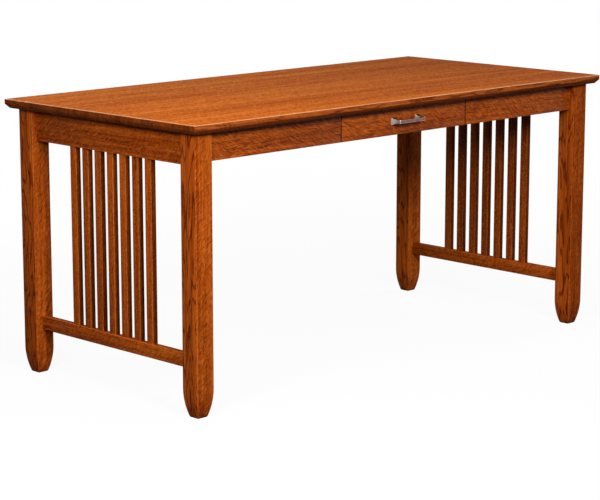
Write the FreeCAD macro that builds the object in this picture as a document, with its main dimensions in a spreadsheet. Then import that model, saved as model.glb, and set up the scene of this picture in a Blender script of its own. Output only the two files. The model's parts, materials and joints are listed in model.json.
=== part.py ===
import FreeCAD, Part
import math
import os
import re
import Sketcher

# Work desk in oak: four square legs with curved feet, slatted ends, one shallow drawer on telescopic slides.
# Millimetres. X runs along the desk, the drawer side faces -Y and Z is up. The origin is on the floor
# under the middle of the top.

SIZES = [
    # The desk as a whole
    ("top_length", 1626, "length of the top"),
    ("top_depth", 775, "depth of the top, front to back"),
    ("desk_height", 762, "floor to writing surface"),
    ("end_overhang", 26, "top beyond the legs at each end"),
    ("front_overhang", 28, "top beyond the legs at front and back"),
    # The top
    ("top_thickness", 25, "thickness of the top"),
    ("top_bevel_height", 11.5, "height of the bevel under the edge"),
    ("top_bevel_depth", 10, "how far the bevel runs in under the edge"),
    ("top_round", 2, "radius on the upper edge"),
    # The legs
    ("leg_size", 57, "side of the square leg"),
    ("leg_chamfer", 1.5, "eased long corners of the leg"),
    ("foot_height", 76, "floor to where the foot begins to curve in"),
    ("foot_inset", 11.6, "how far each face has curved in at the foot"),
    ("foot_chamfer", 2, "chamfer from there in to the sole"),
    # Joints cut in wood
    ("tenon_thickness", 9.5, "thickness of a rail tenon"),
    ("tenon_length", 21, "length of a rail tenon"),
    ("tenon_shoulder", 8, "shoulder above and below an apron tenon"),
    ("stretcher_shoulder", 6, "shoulder above and below a stretcher tenon"),
    ("joint_clearance", 0.15, "glue gap at each cheek of a joint"),
    ("joint_end_gap", 1, "gap past the end of a tenon"),
    # Aprons
    ("apron_thickness", 22, "thickness of the aprons"),
    ("apron_recess", 15.5, "aprons behind the faces of the legs"),
    ("apron_chamfer", 1, "eased corners of the aprons"),
    ("front_apron_height", 77, "height of the front apron and drawer line"),
    ("back_apron_height", 77, "height of the back apron"),
    ("side_apron_height", 86, "height of the end aprons"),
    ("kerf_width", 3, "width of the groove for the top clips"),
    ("kerf_depth", 9, "depth of that groove"),
    ("kerf_drop", 9, "groove below the top of the apron"),
    ("kerf_margin", 40, "groove stops this far from the legs"),
    # Slatted ends
    ("stretcher_bottom", 125, "floor to the underside of the stretcher"),
    ("stretcher_height", 37.5, "height of the stretcher"),
    ("stretcher_thickness", 19, "thickness of the stretcher"),
    ("stretcher_chamfer", 1, "eased corners of the stretcher"),
    ("slat_width", 26, "width of a slat, seen from the end of the desk"),
    ("slat_thickness", 16, "thickness of a slat"),
    ("slat_pitch", 51, "centre to centre of the slats"),
    ("slat_chamfer", 1, "eased corners of the slats"),
    ("slat_tenon_width", 18, "width of a slat tenon"),
    ("slat_tenon_thickness", 8, "thickness of a slat tenon"),
    ("slat_tenon_length", 8, "length of a slat tenon"),
    # Frame behind the front apron
    ("rail_depth", 60, "flat rail under the top, front to back"),
    ("rail_thickness", 19, "thickness of that rail"),
    ("hanger_thickness", 19, "thickness of the boards that carry the slides"),
    ("hanger_lift", 4, "those boards above the lower edge of the apron"),
    ("hanger_tenon_thickness", 8, "thickness of their stub tenons"),
    ("hanger_tenon_length", 8, "length of their stub tenons"),
    ("hanger_shoulder", 8, "shoulder above and below their stub tenons"),
    # Corner blocks
    ("block_leg", 78, "length of a corner block along each apron"),
    ("block_height", 44, "height of a corner block"),
    ("block_drop", 21, "corner blocks below the top of the aprons"),
    ("block_leg_gap", 0.5, "corner block clear of the leg"),
    ("block_screw_place", 50, "block screw from the face of the other apron"),
    ("block_seat", 12, "wood left under the head of a block screw"),
    # Drawer front and box
    ("drawer_opening", 506, "width of the drawer opening"),
    ("drawer_side_gap", 2.2, "gap at each end of the drawer front"),
    ("drawer_top_gap", 2, "gap between drawer front and top"),
    ("drawer_front_thickness", 20, "thickness of the drawer front"),
    ("drawer_front_chamfer", 1, "eased corners of the drawer front"),
    ("slide_gap", 12.7, "space for the slide at each side of the box"),
    ("box_depth", 508, "drawer box, front to back"),
    ("box_height", 48, "height of the drawer box"),
    ("box_lift", 5, "drawer box above the lower edge of the drawer front"),
    ("box_wood", 12, "thickness of the drawer box sides"),
    ("bottom_thickness", 6, "thickness of the drawer bottom"),
    ("bottom_lift", 8, "drawer bottom above the lower edge of the box"),
    ("groove_depth", 6, "depth of the groove for the drawer bottom"),
    ("groove_clearance", 0.1, "play above and below the drawer bottom"),
    ("bottom_edge_gap", 0.5, "drawer bottom short of the end of its groove"),
    ("dovetail_width", 10.5, "wide end of a dovetail"),
    ("dovetail_flare", 1.7, "how much a dovetail narrows at each side"),
    ("dovetail_clearance", 0.05, "glue gap round a dovetail"),
    # Slides
    ("slide_length", 500, "length of each slide member"),
    ("slide_setback", 2, "slides behind the back of the front apron"),
    ("slide_steel", 1.2, "thickness of the slide steel"),
    ("slide_bend", 1.6, "outer radius of the folded steel"),
    ("slide_height", 45, "height of the cabinet member"),
    ("slide_reach", 10, "depth of the cabinet member"),
    ("slide_lip", 2.2, "turned lip of the cabinet member"),
    ("slide_float", 2, "space between cabinet member and middle member"),
    ("ball_space", 3.6, "raceway from one member to the next"),
    ("middle_reach", 7, "depth of the middle member"),
    ("inner_reach", 6.4, "depth of the drawer member"),
    ("slide_screw_inset", 36, "slide screw from each end of the slide"),
    ("ball_play", 0.1, "play of a ball above and below"),
    ("ball_pitch", 50, "spacing of the balls"),
    ("cage_length", 240, "length of a ball cage"),
    ("cage_steel", 0.7, "thickness of a ball cage"),
    ("cage_edge", 2.2, "cage strip beyond the centre of its balls"),
    ("cage_hole_play", 0.05, "radial play of a ball in its cage"),
    ("bridge_length", 50, "length of the bridge between a cage's two strips"),
    ("bridge_place", 40, "that bridge in front of the middle of the cage"),
    # Pull
    ("pull_centres", 96, "hole spacing of the pull"),
    ("pull_base", 20, "square base of a pull post"),
    ("pull_rim", 1.5, "straight rim of that base"),
    ("pull_neck_width", 4.5, "neck of a pull post, along the bar"),
    ("pull_neck_height", 9.5, "height of that neck"),
    ("pull_flare", 12, "length of the curve from base to neck"),
    ("pull_reach", 29, "drawer front to the front of the bar"),
    ("pull_bar_depth", 5, "bar of the pull, front to back"),
    ("pull_bar_height", 8.5, "height of the bar"),
    ("pull_round", 1.5, "rounded front corners of the pull"),
    ("pull_thread_depth", 9, "depth of the threaded hole in a post"),
    # Screws
    ("wood_screw_radius", 1.9, "shank radius of the wood screws"),
    ("wood_screw_bite", 12, "wood screw into the second piece"),
    ("wood_head_radius", 3.7, "head radius of the wood screws"),
    ("wood_head_height", 1.6, "head height of the wood screws"),
    ("pull_screw_radius", 2, "shank radius of the pull screws"),
    ("pull_screw_bite", 8, "pull screw into its post"),
    ("pull_head_radius", 3.9, "head radius of the pull screws"),
    ("pull_head_height", 2.4, "head height of the pull screws"),
    ("head_crown", 0.8, "how much a screw head narrows to its top"),
    ("screw_clearance", 0.05, "radial play of a screw in its hole"),
    ("screw_end_gap", 1, "hole deeper or wider than the screw"),
    ("drawer_side_bite", 9, "slide screw into the drawer side"),
    ("front_screw_inner", 120, "inner drawer front screws from the middle"),
    ("front_screw_margin", 28.3, "outer drawer front screws from the sides of the box"),
    ("rail_screw_start", 77, "inner rail screws from the drawer opening"),
    ("rail_screw_margin", 110, "outer rail screws from the legs"),
    # Clips that hold the top
    ("clip_width", 19, "width of a top clip"),
    ("clip_steel", 1.6, "thickness of a top clip"),
    ("clip_tongue", 8, "tongue of a top clip in its groove"),
    ("clip_gap", 3, "clip standing off the apron"),
    ("clip_flange", 20, "flange of a top clip under the top"),
    ("clip_screw_place", 13, "clip screw from the face of the apron"),
    ("end_clip_margin", 112.5, "end clips from the legs"),
    ("back_clip_inner", 220, "inner back clips from the middle"),
    ("back_clip_margin", 170, "outer back clips from the legs"),
    # Cutting
    ("overrun", 3, "how far a cut runs past what it cuts"),
]

# Sizes that follow from the ones above
RULES = {
    "leg_height": "desk_height - top_thickness",
    "leg_reach_x": "top_length / 2 - end_overhang",
    "leg_reach_y": "top_depth / 2 - front_overhang",
    "leg_centre_x": "leg_reach_x - leg_size / 2",
    "leg_centre_y": "leg_reach_y - leg_size / 2",
    "span_x": "2 * (leg_reach_x - leg_size)",
    "span_y": "2 * (leg_reach_y - leg_size)",
    "foot_half": "leg_size / 2 - foot_inset",
    "sole_half": "foot_half - foot_chamfer",
    "foot_rise": "foot_height - foot_chamfer",
    "foot_radius": "(foot_rise * foot_rise + foot_inset * foot_inset) / (2 * foot_inset)",
    "foot_centre": "leg_size / 2 - foot_radius",
    "apron_offset": "leg_size / 2 - apron_recess - apron_thickness / 2",
    "apron_face_y": "leg_reach_y - apron_recess",
    "apron_inner_y": "apron_face_y - apron_thickness",
    "apron_inner_x": "leg_reach_x - apron_recess - apron_thickness",
    "front_apron_bottom": "leg_height - front_apron_height",
    "back_apron_bottom": "leg_height - back_apron_height",
    "side_apron_bottom": "leg_height - side_apron_height",
    "clip_level": "kerf_drop + kerf_width / 2",
    "stretcher_top": "stretcher_bottom + stretcher_height",
    "slat_length": "side_apron_bottom - stretcher_top",
    "opening_half": "drawer_opening / 2",
    "front_apron_length": "span_x / 2 - opening_half",
    "front_apron_centre": "(span_x / 2 + opening_half) / 2",
    "rail_bottom": "leg_height - rail_thickness",
    "rail_centre_y": "rail_depth / 2 - apron_inner_y",
    "hanger_bottom": "front_apron_bottom + hanger_lift",
    "hanger_height": "rail_bottom - hanger_bottom",
    "hanger_centre_x": "opening_half + hanger_thickness / 2",
    "hanger_tenon_height": "hanger_height - 2 * hanger_shoulder",
    "block_bottom": "leg_height - block_drop - block_height",
    "block_notch": "apron_inner_x - span_x / 2 + block_leg_gap",
    "block_screw_level": "block_bottom + block_height / 2",
    "drawer_back_y": "apron_face_y - drawer_front_thickness",
    "drawer_front_height": "front_apron_height - drawer_top_gap",
    "pull_level": "front_apron_bottom + front_apron_height / 2",
    "box_half": "opening_half - slide_gap",
    "box_inner_half": "box_half - box_wood",
    "box_bottom": "front_apron_bottom + box_lift",
    "box_centre_y": "box_depth / 2 - drawer_back_y",
    "box_root": "box_depth / 2 - box_wood",
    "dovetail_pitch": "box_height / 3",
    "groove_height": "bottom_thickness + 2 * groove_clearance",
    "groove_level": "bottom_lift + bottom_thickness / 2",
    "bottom_reach": "groove_depth - bottom_edge_gap",
    "slide_centre_y": "slide_length / 2 + slide_setback - apron_inner_y",
    "slide_level": "box_bottom + box_height / 2",
    "slide_screw_step": "slide_length / 2 - slide_screw_inset",
    "middle_height": "slide_height - 2 * slide_steel - 2 * ball_space",
    "inner_height": "middle_height - 2 * slide_steel - 2 * ball_space",
    "middle_web": "opening_half - slide_steel - slide_float",
    "ball_radius": "ball_space / 2 - ball_play",
    "outer_ball_x": "(opening_half - slide_reach + slide_steel + middle_web) / 2",
    "inner_ball_x": "(middle_web - middle_reach + box_half + inner_reach) / 2",
    "outer_ball_level": "(slide_height - ball_space) / 2 - slide_steel",
    "inner_ball_level": "(middle_height - ball_space) / 2 - slide_steel",
    "outer_bridge_x": "middle_web + slide_float / 2",
    "inner_bridge_x": "(middle_web - slide_steel + box_half + inner_reach) / 2",
    "wood_hole_radius": "wood_screw_radius + screw_clearance",
    "wood_hole_depth": "wood_screw_bite + screw_end_gap",
    "pull_hole_radius": "pull_screw_radius + screw_clearance",
    "flare_end": "pull_rim + pull_flare",
    "plan_swell": "(pull_base - pull_neck_width) / 2",
    "plan_radius": "(pull_flare * pull_flare + plan_swell * plan_swell) / (2 * plan_swell)",
    "side_swell": "(pull_base - pull_neck_height) / 2",
    "side_radius": "(pull_flare * pull_flare + side_swell * side_swell) / (2 * side_swell)",
    "bar_back": "pull_reach - pull_bar_depth",
    "front_screw_outer": "box_inner_half - front_screw_margin",
    "rail_screw_inner": "opening_half + rail_screw_start",
    "rail_screw_outer": "span_x / 2 - rail_screw_margin",
    "end_clip_place": "span_y / 2 - end_clip_margin",
    "back_clip_outer": "span_x / 2 - back_clip_margin",
}

CELLS = {alias: "Sizes." + alias for alias, value, note in SIZES}
NUMBERS = {alias: str(value) for alias, value, note in SIZES}
SIDES = (("left", -1), ("right", 1))
ENDS = (("front", -1), ("back", 1))
SLAT_PLACES = (-3, -2, -1, 0, 1, 2, 3)
TAILS = (0.5, 1.5, 2.5)
BALL_PLACES = (-1.5, -0.5, 0.5, 1.5)
EIGHT_SIDES_SHARE = round(math.tan(math.pi / 8), 9)

doc = FreeCAD.newDocument("WorkDesk")
sheet = doc.addObject("Spreadsheet::Sheet", "Sizes")
for row, (alias, value, note) in enumerate(SIZES, start=1):
    sheet.set(f"A{row}", note)
    sheet.set(f"B{row}", str(value))
    sheet.setAlias(f"B{row}", alias)
doc.recompute()

pieces = []


# Helpers: formulas, sketches and features

def written_out(text, names):
    """The text with each rule written out and each size swapped for what names has for it."""
    def swap(match):
        word = match.group(0)
        return f"({written_out(RULES[word], names)})" if word in RULES else names[word]
    return re.sub(r"[a-z][a-z_]*", swap, text)


def bind(item, prop, text):
    """Tie a property to the sheet."""
    item.setExpression(prop, written_out(text, CELLS))


def number(text):
    """What a formula comes to with the sizes as they stand."""
    return FreeCAD.Units.Quantity(written_out(text, NUMBERS)).Value


def place(item, x, y, z):
    bind(item, "Placement.Base.x", x)
    bind(item, "Placement.Base.y", y)
    bind(item, "Placement.Base.z", z)


def new_body(label, x="0", y="0", z="0", keep=True):
    """An empty body for one piece, placed in the desk's frame. A pattern piece that is only copied isn't kept."""
    body = doc.addObject("PartDesign::Body", label)
    body.Label = label
    place(body, x, y, z)
    if keep:
        pieces.append(body)
    return body


def new_sketch(body, name, plane, level="0"):
    """A sketch on one of the body's own origin planes, moved along that plane's normal."""
    sketch = body.newObject("Sketcher::SketchObject", f"{body.Name}_{name}")
    planes = [item for item in body.Origin.OriginFeatures if item.Role == plane + "_Plane"]
    sketch.AttachmentSupport = (planes[0], [""])
    sketch.MapMode = "FlatFace"
    bind(sketch, "AttachmentOffset.Base.z", level)
    return sketch


def pin(sketch, edge, end, x=None, y=None):
    """Hold one end of an edge, or its centre with end 3, at x and y from the sketch's origin."""
    for kind, text in (("DistanceX", x), ("DistanceY", y)):
        if text is not None:
            index = sketch.addConstraint(Sketcher.Constraint(kind, -1, 1, edge, end, number(text)))
            bind(sketch, f"Constraints[{index}]", text)


def draw(sketch, corners, arcs=None):
    """A closed outline through the corners, each given as two formulas.

    arcs maps the number of an edge to the centre of the arc that it is and to its turn: 1 for an arc
    that runs anticlockwise along the outline and -1 for one that runs clockwise.
    """
    arcs = arcs or {}
    first = sketch.GeometryCount
    count = len(corners)
    points = [FreeCAD.Vector(number(x), number(y), 0) for x, y in corners]
    ends = []
    for step in range(count):
        start = points[step]
        finish = points[(step + 1) % count]
        if step in arcs:
            centre, turn = arcs[step]
            sketch.addGeometry(arc_between(centre, start, finish, turn), False)
            ends.append((1, 2) if turn > 0 else (2, 1))
        else:
            sketch.addGeometry(Part.LineSegment(start, finish), False)
            ends.append((1, 2))
    for step in range(count):
        follower = (step + 1) % count
        meeting = (first + step, ends[step][1], first + follower, ends[follower][0])
        sketch.addConstraint(Sketcher.Constraint("Coincident", *meeting))
    for step, (x, y) in enumerate(corners):
        pin(sketch, first + step, ends[step][0], x, y)
    for step, (centre, turn) in arcs.items():
        # The two ends leave the centre one way to move, so only one of its two places is held
        chord = points[(step + 1) % count] - points[step]
        held = (centre[0], None) if abs(chord.y) > abs(chord.x) else (None, centre[1])
        pin(sketch, first + step, 3, *held)


def arc_between(centre, start, finish, turn):
    """The arc from start to finish round a centre given as two formulas."""
    middle = FreeCAD.Vector(number(centre[0]), number(centre[1]), 0)
    if turn < 0:
        start, finish = finish, start
    angles = [math.atan2(point.y - middle.y, point.x - middle.x) for point in (start, finish)]
    if angles[1] < angles[0]:
        angles[1] += 2 * math.pi
    circle = Part.Circle(middle, FreeCAD.Vector(0, 0, 1), start.distanceToPoint(middle))
    return Part.ArcOfCircle(circle, *angles)


def oblong(x, y, width, height):
    """Corners of a rectangle centred at x and y."""
    left = f"{x} - ({width}) / 2"
    right = f"{x} + ({width}) / 2"
    low = f"{y} - ({height}) / 2"
    high = f"{y} + ({height}) / 2"
    return [(left, low), (right, low), (right, high), (left, high)]


def outline(body, name, plane, shapes, level="0"):
    sketch = new_sketch(body, name, plane, level)
    for corners in shapes:
        draw(sketch, corners)
    return sketch


def eight_sides(x, y, radius):
    """Corners of a regular eight-sided outline. The radius is half of its width across the flats."""
    radius = f"({radius})"
    half_side = f"{EIGHT_SIDES_SHARE} * {radius}"
    around = [(radius, f"-{half_side}"), (radius, half_side), (half_side, radius), (f"-{half_side}", radius),
              (f"-{radius}", half_side), (f"-{radius}", f"-{half_side}"), (f"-{half_side}", f"-{radius}"),
              (half_side, f"-{radius}")]
    return [(f"{x} + {across}", f"{y} + {up}") for across, up in around]


def rounds(body, name, plane, centres, radius, level="0"):
    """Small round holes or bars. They are eight-sided, because there are many and they need few facets."""
    return outline(body, name, plane, [eight_sides(x, y, radius) for x, y in centres], level)


def loft(body, name, sketches):
    """Straight faces from each sketch to the next."""
    feature = body.newObject("PartDesign::AdditiveLoft", f"{body.Name}_{name}")
    feature.Profile = sketches[0]
    feature.Sections = sketches[1:]
    feature.Ruled = True
    doc.recompute()


def extrude(kind, body, name, sketch, length, both_ways=False, backwards=False):
    """A Pad or Pocket of a sketch. It stops the build if it adds or cuts nothing."""
    before = body.Shape.Volume if body.Tip else 0
    feature = body.newObject(f"PartDesign::{kind}", f"{body.Name}_{name}")
    feature.Profile = sketch
    bind(feature, "Length", length)
    if both_ways:
        feature.SideType = "Symmetric"
    feature.Reversed = backwards
    doc.recompute()
    change = feature.Shape.Volume - before
    works = change > 0 if kind == "Pad" else change < 0
    if not works:
        raise ValueError(f"{feature.Name} changes the volume by {change}")
    return feature


def pad(body, name, sketch, length, **how):
    return extrude("Pad", body, name, sketch, length, **how)


def pocket(body, name, sketch, length, **how):
    return extrude("Pocket", body, name, sketch, length, **how)


def ease(body, name, kind, size, test):
    """A Fillet or Chamfer on the edges whose two ends pass the test."""
    base = body.Tip
    names = []
    for index, edge in enumerate(base.Shape.Edges, start=1):
        if test(edge.Vertexes[0].Point, edge.Vertexes[-1].Point):
            names.append(f"Edge{index}")
    if not names:
        raise ValueError(f"{body.Name} has no edge for {name}")
    feature = body.newObject(f"PartDesign::{kind}", f"{body.Name}_{name}")
    feature.Base = (base, names)
    bind(feature, "Radius" if kind == "Fillet" else "Size", size)
    doc.recompute()


def runs_along(axis):
    """A test for edges that run along one axis, 0 for x, 1 for y or 2 for z."""
    def test(start, end):
        gap = end - start
        return gap.Length > 0 and abs(gap[axis]) > gap.Length * 0.999
    return test


def both_sides(x, y):
    """The same place left and right of the middle."""
    return [(f"{side} * {x}", y) for side_name, side in SIDES]


def copies(name, pattern, places):
    """Copies of one pattern piece, each at its own place and turn."""
    links = []
    for count, (x, y, z, turn) in enumerate(places, start=1):
        link = doc.addObject("App::Link", f"{name}_{count}")
        link.LinkedObject = pattern
        link.Placement = FreeCAD.Placement(FreeCAD.Vector(), turn)
        place(link, x, y, z)
        links.append(link)
    return links


def gather(label, items):
    """One piece made of several solids."""
    group = doc.addObject("Part::Compound", label)
    group.Label = label
    group.Links = items
    pieces.append(group)


def cut_mortise(body, name, plane, level, x, y, width, height, depth, backwards):
    """A mortise for a tenon of this width and height, with its glue gap and end gap."""
    shape = oblong(x, y, f"{width} + 2 * joint_clearance", f"{height} + 2 * joint_clearance")
    sketch = outline(body, name, plane, [shape], level)
    pocket(body, name + "_cut", sketch, f"{depth} + joint_end_gap", backwards=backwards)


# The top

def clip_screw_places():
    """Clip screws under the top: two at each end and four along the back."""
    places = []
    for way_name, way in ENDS:
        places += both_sides("(apron_inner_x - clip_screw_place)", f"{way} * end_clip_place")
    for distance in ("back_clip_inner", "back_clip_outer"):
        places += both_sides(distance, "apron_inner_y - clip_screw_place")
    return places


def rail_screw_places():
    return both_sides("rail_screw_inner", "rail_centre_y") + both_sides("rail_screw_outer", "rail_centre_y")


def make_top():
    """A board whose edge is upright above and bevelled under."""
    body = new_body("top_panel", z="leg_height")
    small = oblong("0", "0", "top_length - 2 * top_bevel_depth", "top_depth - 2 * top_bevel_depth")
    full = oblong("0", "0", "top_length", "top_depth")
    loft(body, "bevel", [outline(body, "underside", "XY", [small]),
                         outline(body, "bevel_end", "XY", [full], "top_bevel_height")])
    pad(body, "board", outline(body, "edge", "XY", [full], "top_bevel_height"), "top_thickness - top_bevel_height")
    top = body.Shape.BoundBox.ZMax - body.Placement.Base.z
    ease(body, "upper_edge", "Fillet", "top_round", lambda start, end: min(start.z, end.z) > top * 0.99)
    holes = rounds(body, "screw_holes", "XY", clip_screw_places() + rail_screw_places(), "wood_hole_radius")
    pocket(body, "screw_holes_cut", holes, "wood_hole_depth", backwards=True)


# Legs

def draw_leg(sketch, bottom, top):
    """A leg seen square on: straight sides that curve in to the foot and a chamfer in to the sole."""
    corners = [
        ("-sole_half", bottom),
        ("sole_half", bottom),
        ("sole_half", "0"),
        ("foot_half", "foot_chamfer"),
        ("leg_size / 2", "foot_height"),
        ("leg_size / 2", top),
        ("-leg_size / 2", top),
        ("-leg_size / 2", "foot_height"),
        ("-foot_half", "foot_chamfer"),
        ("-sole_half", "0"),
    ]
    draw(sketch, corners, {3: (("foot_centre", "foot_height"), 1), 7: (("-foot_centre", "foot_height"), 1)})


def on_leg_corner(start, end):
    """True for the long corners of a leg, the straight and the curved stretch alike."""
    gap = end - start
    square = max(abs(abs(point.x) - abs(point.y)) for point in (start, end)) < 1e-3
    return square and abs(gap.z) > gap.Length * 0.9


def make_leg(side_name, side, way_name, way):
    """The leg's two views cross to give four curved faces, and its mortises face along the desk and across it."""
    body = new_body(f"leg_{way_name}_{side_name}", f"{side} * leg_centre_x", f"{way} * leg_centre_y")
    front_view = new_sketch(body, "front_view", "XZ")
    draw_leg(front_view, "-overrun", "leg_height")
    pad(body, "blank", front_view, "leg_size + 2 * overrun", both_ways=True)
    side_view = new_sketch(body, "side_view", "YZ")
    draw(side_view, oblong("0", "leg_height / 2", "leg_size + 6 * overrun", "leg_height + 6 * overrun"))
    draw_leg(side_view, "-2 * overrun", "leg_height + overrun")
    pocket(body, "side_faces", side_view, "leg_size + 2 * overrun", both_ways=True)
    sole = outline(body, "sole", "XY", [oblong("0", "0", "2 * leg_size", "2 * leg_size")])
    pocket(body, "sole_cut", sole, "2 * overrun")
    ease(body, "corners", "Chamfer", "leg_chamfer", on_leg_corner)
    long_height = "front_apron_height" if way < 0 else "back_apron_height"
    cut_mortise(body, "long_mortise", "YZ", f"{-side} * leg_size / 2", f"{way} * apron_offset",
                f"leg_height - {long_height} / 2", "tenon_thickness", f"{long_height} - 2 * tenon_shoulder",
                "tenon_length", side > 0)
    cut_mortise(body, "end_mortise", "XZ", f"{way} * leg_size / 2", f"{side} * apron_offset",
                "leg_height - side_apron_height / 2", "tenon_thickness", "side_apron_height - 2 * tenon_shoulder",
                "tenon_length", way < 0)
    cut_mortise(body, "stretcher_mortise", "XZ", f"{way} * leg_size / 2", "0",
                "stretcher_bottom + stretcher_height / 2", "tenon_thickness",
                "stretcher_height - 2 * stretcher_shoulder", "tenon_length", way < 0)


# Rails

def make_rail(label, axis, middle, span, thickness, height, shoulder, chamfer):
    """A rail that lies across the middle of the desk, along x (0) or y (1), with a tenon at each end."""
    plane = ("YZ", "XZ")[axis]
    body = new_body(label, *middle)
    section = outline(body, "section", plane, [oblong("0", f"{height} / 2", thickness, height)])
    pad(body, "rail", section, span, both_ways=True)
    ease(body, "corners", "Chamfer", chamfer, runs_along(axis))
    tenon = oblong("0", f"{height} / 2", "tenon_thickness", f"{height} - 2 * {shoulder}")
    tenon_section = outline(body, "tenon_section", plane, [tenon])
    pad(body, "tenons", tenon_section, f"{span} + 2 * tenon_length", both_ways=True)
    return body


def cut_kerf(body, plane, inward, height, span):
    """The groove near the top of an apron's inner face, for the tongues of the top clips."""
    middle = f"{inward} * (apron_thickness - kerf_depth + overrun) / 2"
    kerf = oblong(middle, f"{height} - clip_level", "kerf_depth + overrun", "kerf_width")
    pocket(body, "kerf_cut", outline(body, "kerf", plane, [kerf]), f"{span} - 2 * kerf_margin", both_ways=True)


def cut_slat_mortises(body, across, level, backwards):
    shapes = []
    for number in SLAT_PLACES:
        shapes.append(oblong(across, f"{number} * slat_pitch", "slat_tenon_thickness + 2 * joint_clearance",
                             "slat_tenon_width + 2 * joint_clearance"))
    sketch = outline(body, "slat_mortises", "XY", shapes, level)
    pocket(body, "slat_mortises_cut", sketch, "slat_tenon_length + joint_end_gap", backwards=backwards)


def make_slat(label, x, y):
    body = new_body(label, x, y, "stretcher_top + slat_length / 2")
    section = outline(body, "section", "XY", [oblong("0", "0", "slat_thickness", "slat_width")])
    pad(body, "bar", section, "slat_length", both_ways=True)
    ease(body, "corners", "Chamfer", "slat_chamfer", runs_along(2))
    tenon = outline(body, "tenon", "XY", [oblong("0", "0", "slat_tenon_thickness", "slat_tenon_width")])
    pad(body, "tenons", tenon, "slat_length + 2 * slat_tenon_length", both_ways=True)


def make_slatted_end(side_name, side):
    middle = (f"{side} * (leg_centre_x + apron_offset)", "0", "side_apron_bottom")
    apron = make_rail(f"side_apron_{side_name}", 1, middle, "span_y", "apron_thickness", "side_apron_height",
                      "tenon_shoulder", "apron_chamfer")
    cut_slat_mortises(apron, f"{-side} * apron_offset", "0", True)
    cut_kerf(apron, "XZ", -side, "side_apron_height", "span_y")
    level = "block_screw_level - side_apron_bottom"
    places = [(f"{way} * (apron_inner_y - block_screw_place)", level) for way_name, way in ENDS]
    holes = rounds(apron, "block_holes", "YZ", places, "wood_hole_radius", f"{-side} * apron_thickness / 2")
    pocket(apron, "block_holes_cut", holes, "wood_hole_depth", backwards=side > 0)

    middle = (f"{side} * leg_centre_x", "0", "stretcher_bottom")
    stretcher = make_rail(f"stretcher_{side_name}", 1, middle, "span_y", "stretcher_thickness", "stretcher_height",
                          "stretcher_shoulder", "stretcher_chamfer")
    cut_slat_mortises(stretcher, "0", "stretcher_height", False)

    for order, number in enumerate(SLAT_PLACES, start=1):
        make_slat(f"slat_{side_name}_{order}", f"{side} * leg_centre_x", f"{number} * slat_pitch")


def cut_hanger_mortise(body, name, x, level, bottom, backwards):
    cut_mortise(body, name, "XZ", level, x, f"hanger_bottom + hanger_height / 2 - {bottom}",
                "hanger_tenon_thickness", "hanger_tenon_height", "hanger_tenon_length", backwards)


def make_front_apron(side_name, side):
    """The piece of front apron between a leg and the drawer, with one tenon."""
    body = new_body(f"front_apron_{side_name}", f"{side} * front_apron_centre",
                    "apron_thickness / 2 - apron_face_y", "front_apron_bottom")
    middle = "front_apron_height / 2"
    section = outline(body, "section", "YZ", [oblong("0", middle, "apron_thickness", "front_apron_height")])
    pad(body, "board", section, "front_apron_length", both_ways=True)
    ease(body, "corners", "Chamfer", "apron_chamfer", runs_along(0))
    tenon = oblong("0", middle, "tenon_thickness", "front_apron_height - 2 * tenon_shoulder")
    tenon_section = outline(body, "tenon_section", "YZ", [tenon], f"{side} * front_apron_length / 2")
    pad(body, "tenon", tenon_section, "tenon_length", backwards=side < 0)
    back = "-apron_thickness / 2"
    cut_hanger_mortise(body, "hanger_mortise", f"{side} * (hanger_centre_x - front_apron_centre)", back,
                       "front_apron_bottom", True)
    x = f"{side} * (apron_inner_x - block_screw_place - front_apron_centre)"
    hole = rounds(body, "block_hole", "XZ", [(x, "block_screw_level - front_apron_bottom")], "wood_hole_radius", back)
    pocket(body, "block_hole_cut", hole, "wood_hole_depth", backwards=True)


def make_back_apron():
    middle = ("0", "apron_face_y - apron_thickness / 2", "back_apron_bottom")
    body = make_rail("back_apron", 0, middle, "span_x", "apron_thickness", "back_apron_height", "tenon_shoulder",
                     "apron_chamfer")
    cut_kerf(body, "YZ", -1, "back_apron_height", "span_x")
    inner = "apron_thickness / 2"
    for side_name, side in SIDES:
        cut_hanger_mortise(body, f"hanger_mortise_{side_name}", f"{side} * hanger_centre_x", inner,
                           "back_apron_bottom", False)
    places = both_sides("(apron_inner_x - block_screw_place)", "block_screw_level - back_apron_bottom")
    holes = rounds(body, "block_holes", "XZ", places, "wood_hole_radius", inner)
    pocket(body, "block_holes_cut", holes, "wood_hole_depth")


# Frame behind the drawer line

def make_top_rail():
    """The flat rail that ties the two pieces of front apron together under the top."""
    body = new_body("front_top_rail", "0", "rail_centre_y", "rail_bottom")
    pad(body, "rail", outline(body, "plan", "XY", [oblong("0", "0", "span_x", "rail_depth")]), "rail_thickness")
    places = both_sides("rail_screw_inner", "0") + both_sides("rail_screw_outer", "0")
    holes = rounds(body, "screw_holes", "XY", places, "wood_hole_radius")
    pocket(body, "screw_holes_cut", holes, "rail_thickness + overrun", backwards=True)


def slide_screw_ys():
    return [f"slide_centre_y + {step} * slide_screw_step" for step in (-1, 0, 1)]


def make_hanger(side_name, side):
    """A board from front apron to back apron, which carries the fixed member of a slide."""
    body = new_body(f"drawer_hanger_{side_name}", f"{side} * hanger_centre_x", "0", "hanger_bottom")
    middle = "hanger_height / 2"
    section = outline(body, "section", "XZ", [oblong("0", middle, "hanger_thickness", "hanger_height")])
    pad(body, "board", section, "2 * apron_inner_y", both_ways=True)
    tenon = oblong("0", middle, "hanger_tenon_thickness", "hanger_tenon_height")
    tenon_section = outline(body, "tenon_section", "XZ", [tenon])
    pad(body, "tenons", tenon_section, "2 * (apron_inner_y + hanger_tenon_length)", both_ways=True)
    places = [(y, "slide_level - hanger_bottom") for y in slide_screw_ys()]
    holes = rounds(body, "slide_holes", "YZ", places, "wood_hole_radius", f"{-side} * hanger_thickness / 2")
    pocket(body, "slide_holes_cut", holes, "wood_hole_depth", backwards=side > 0)


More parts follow.
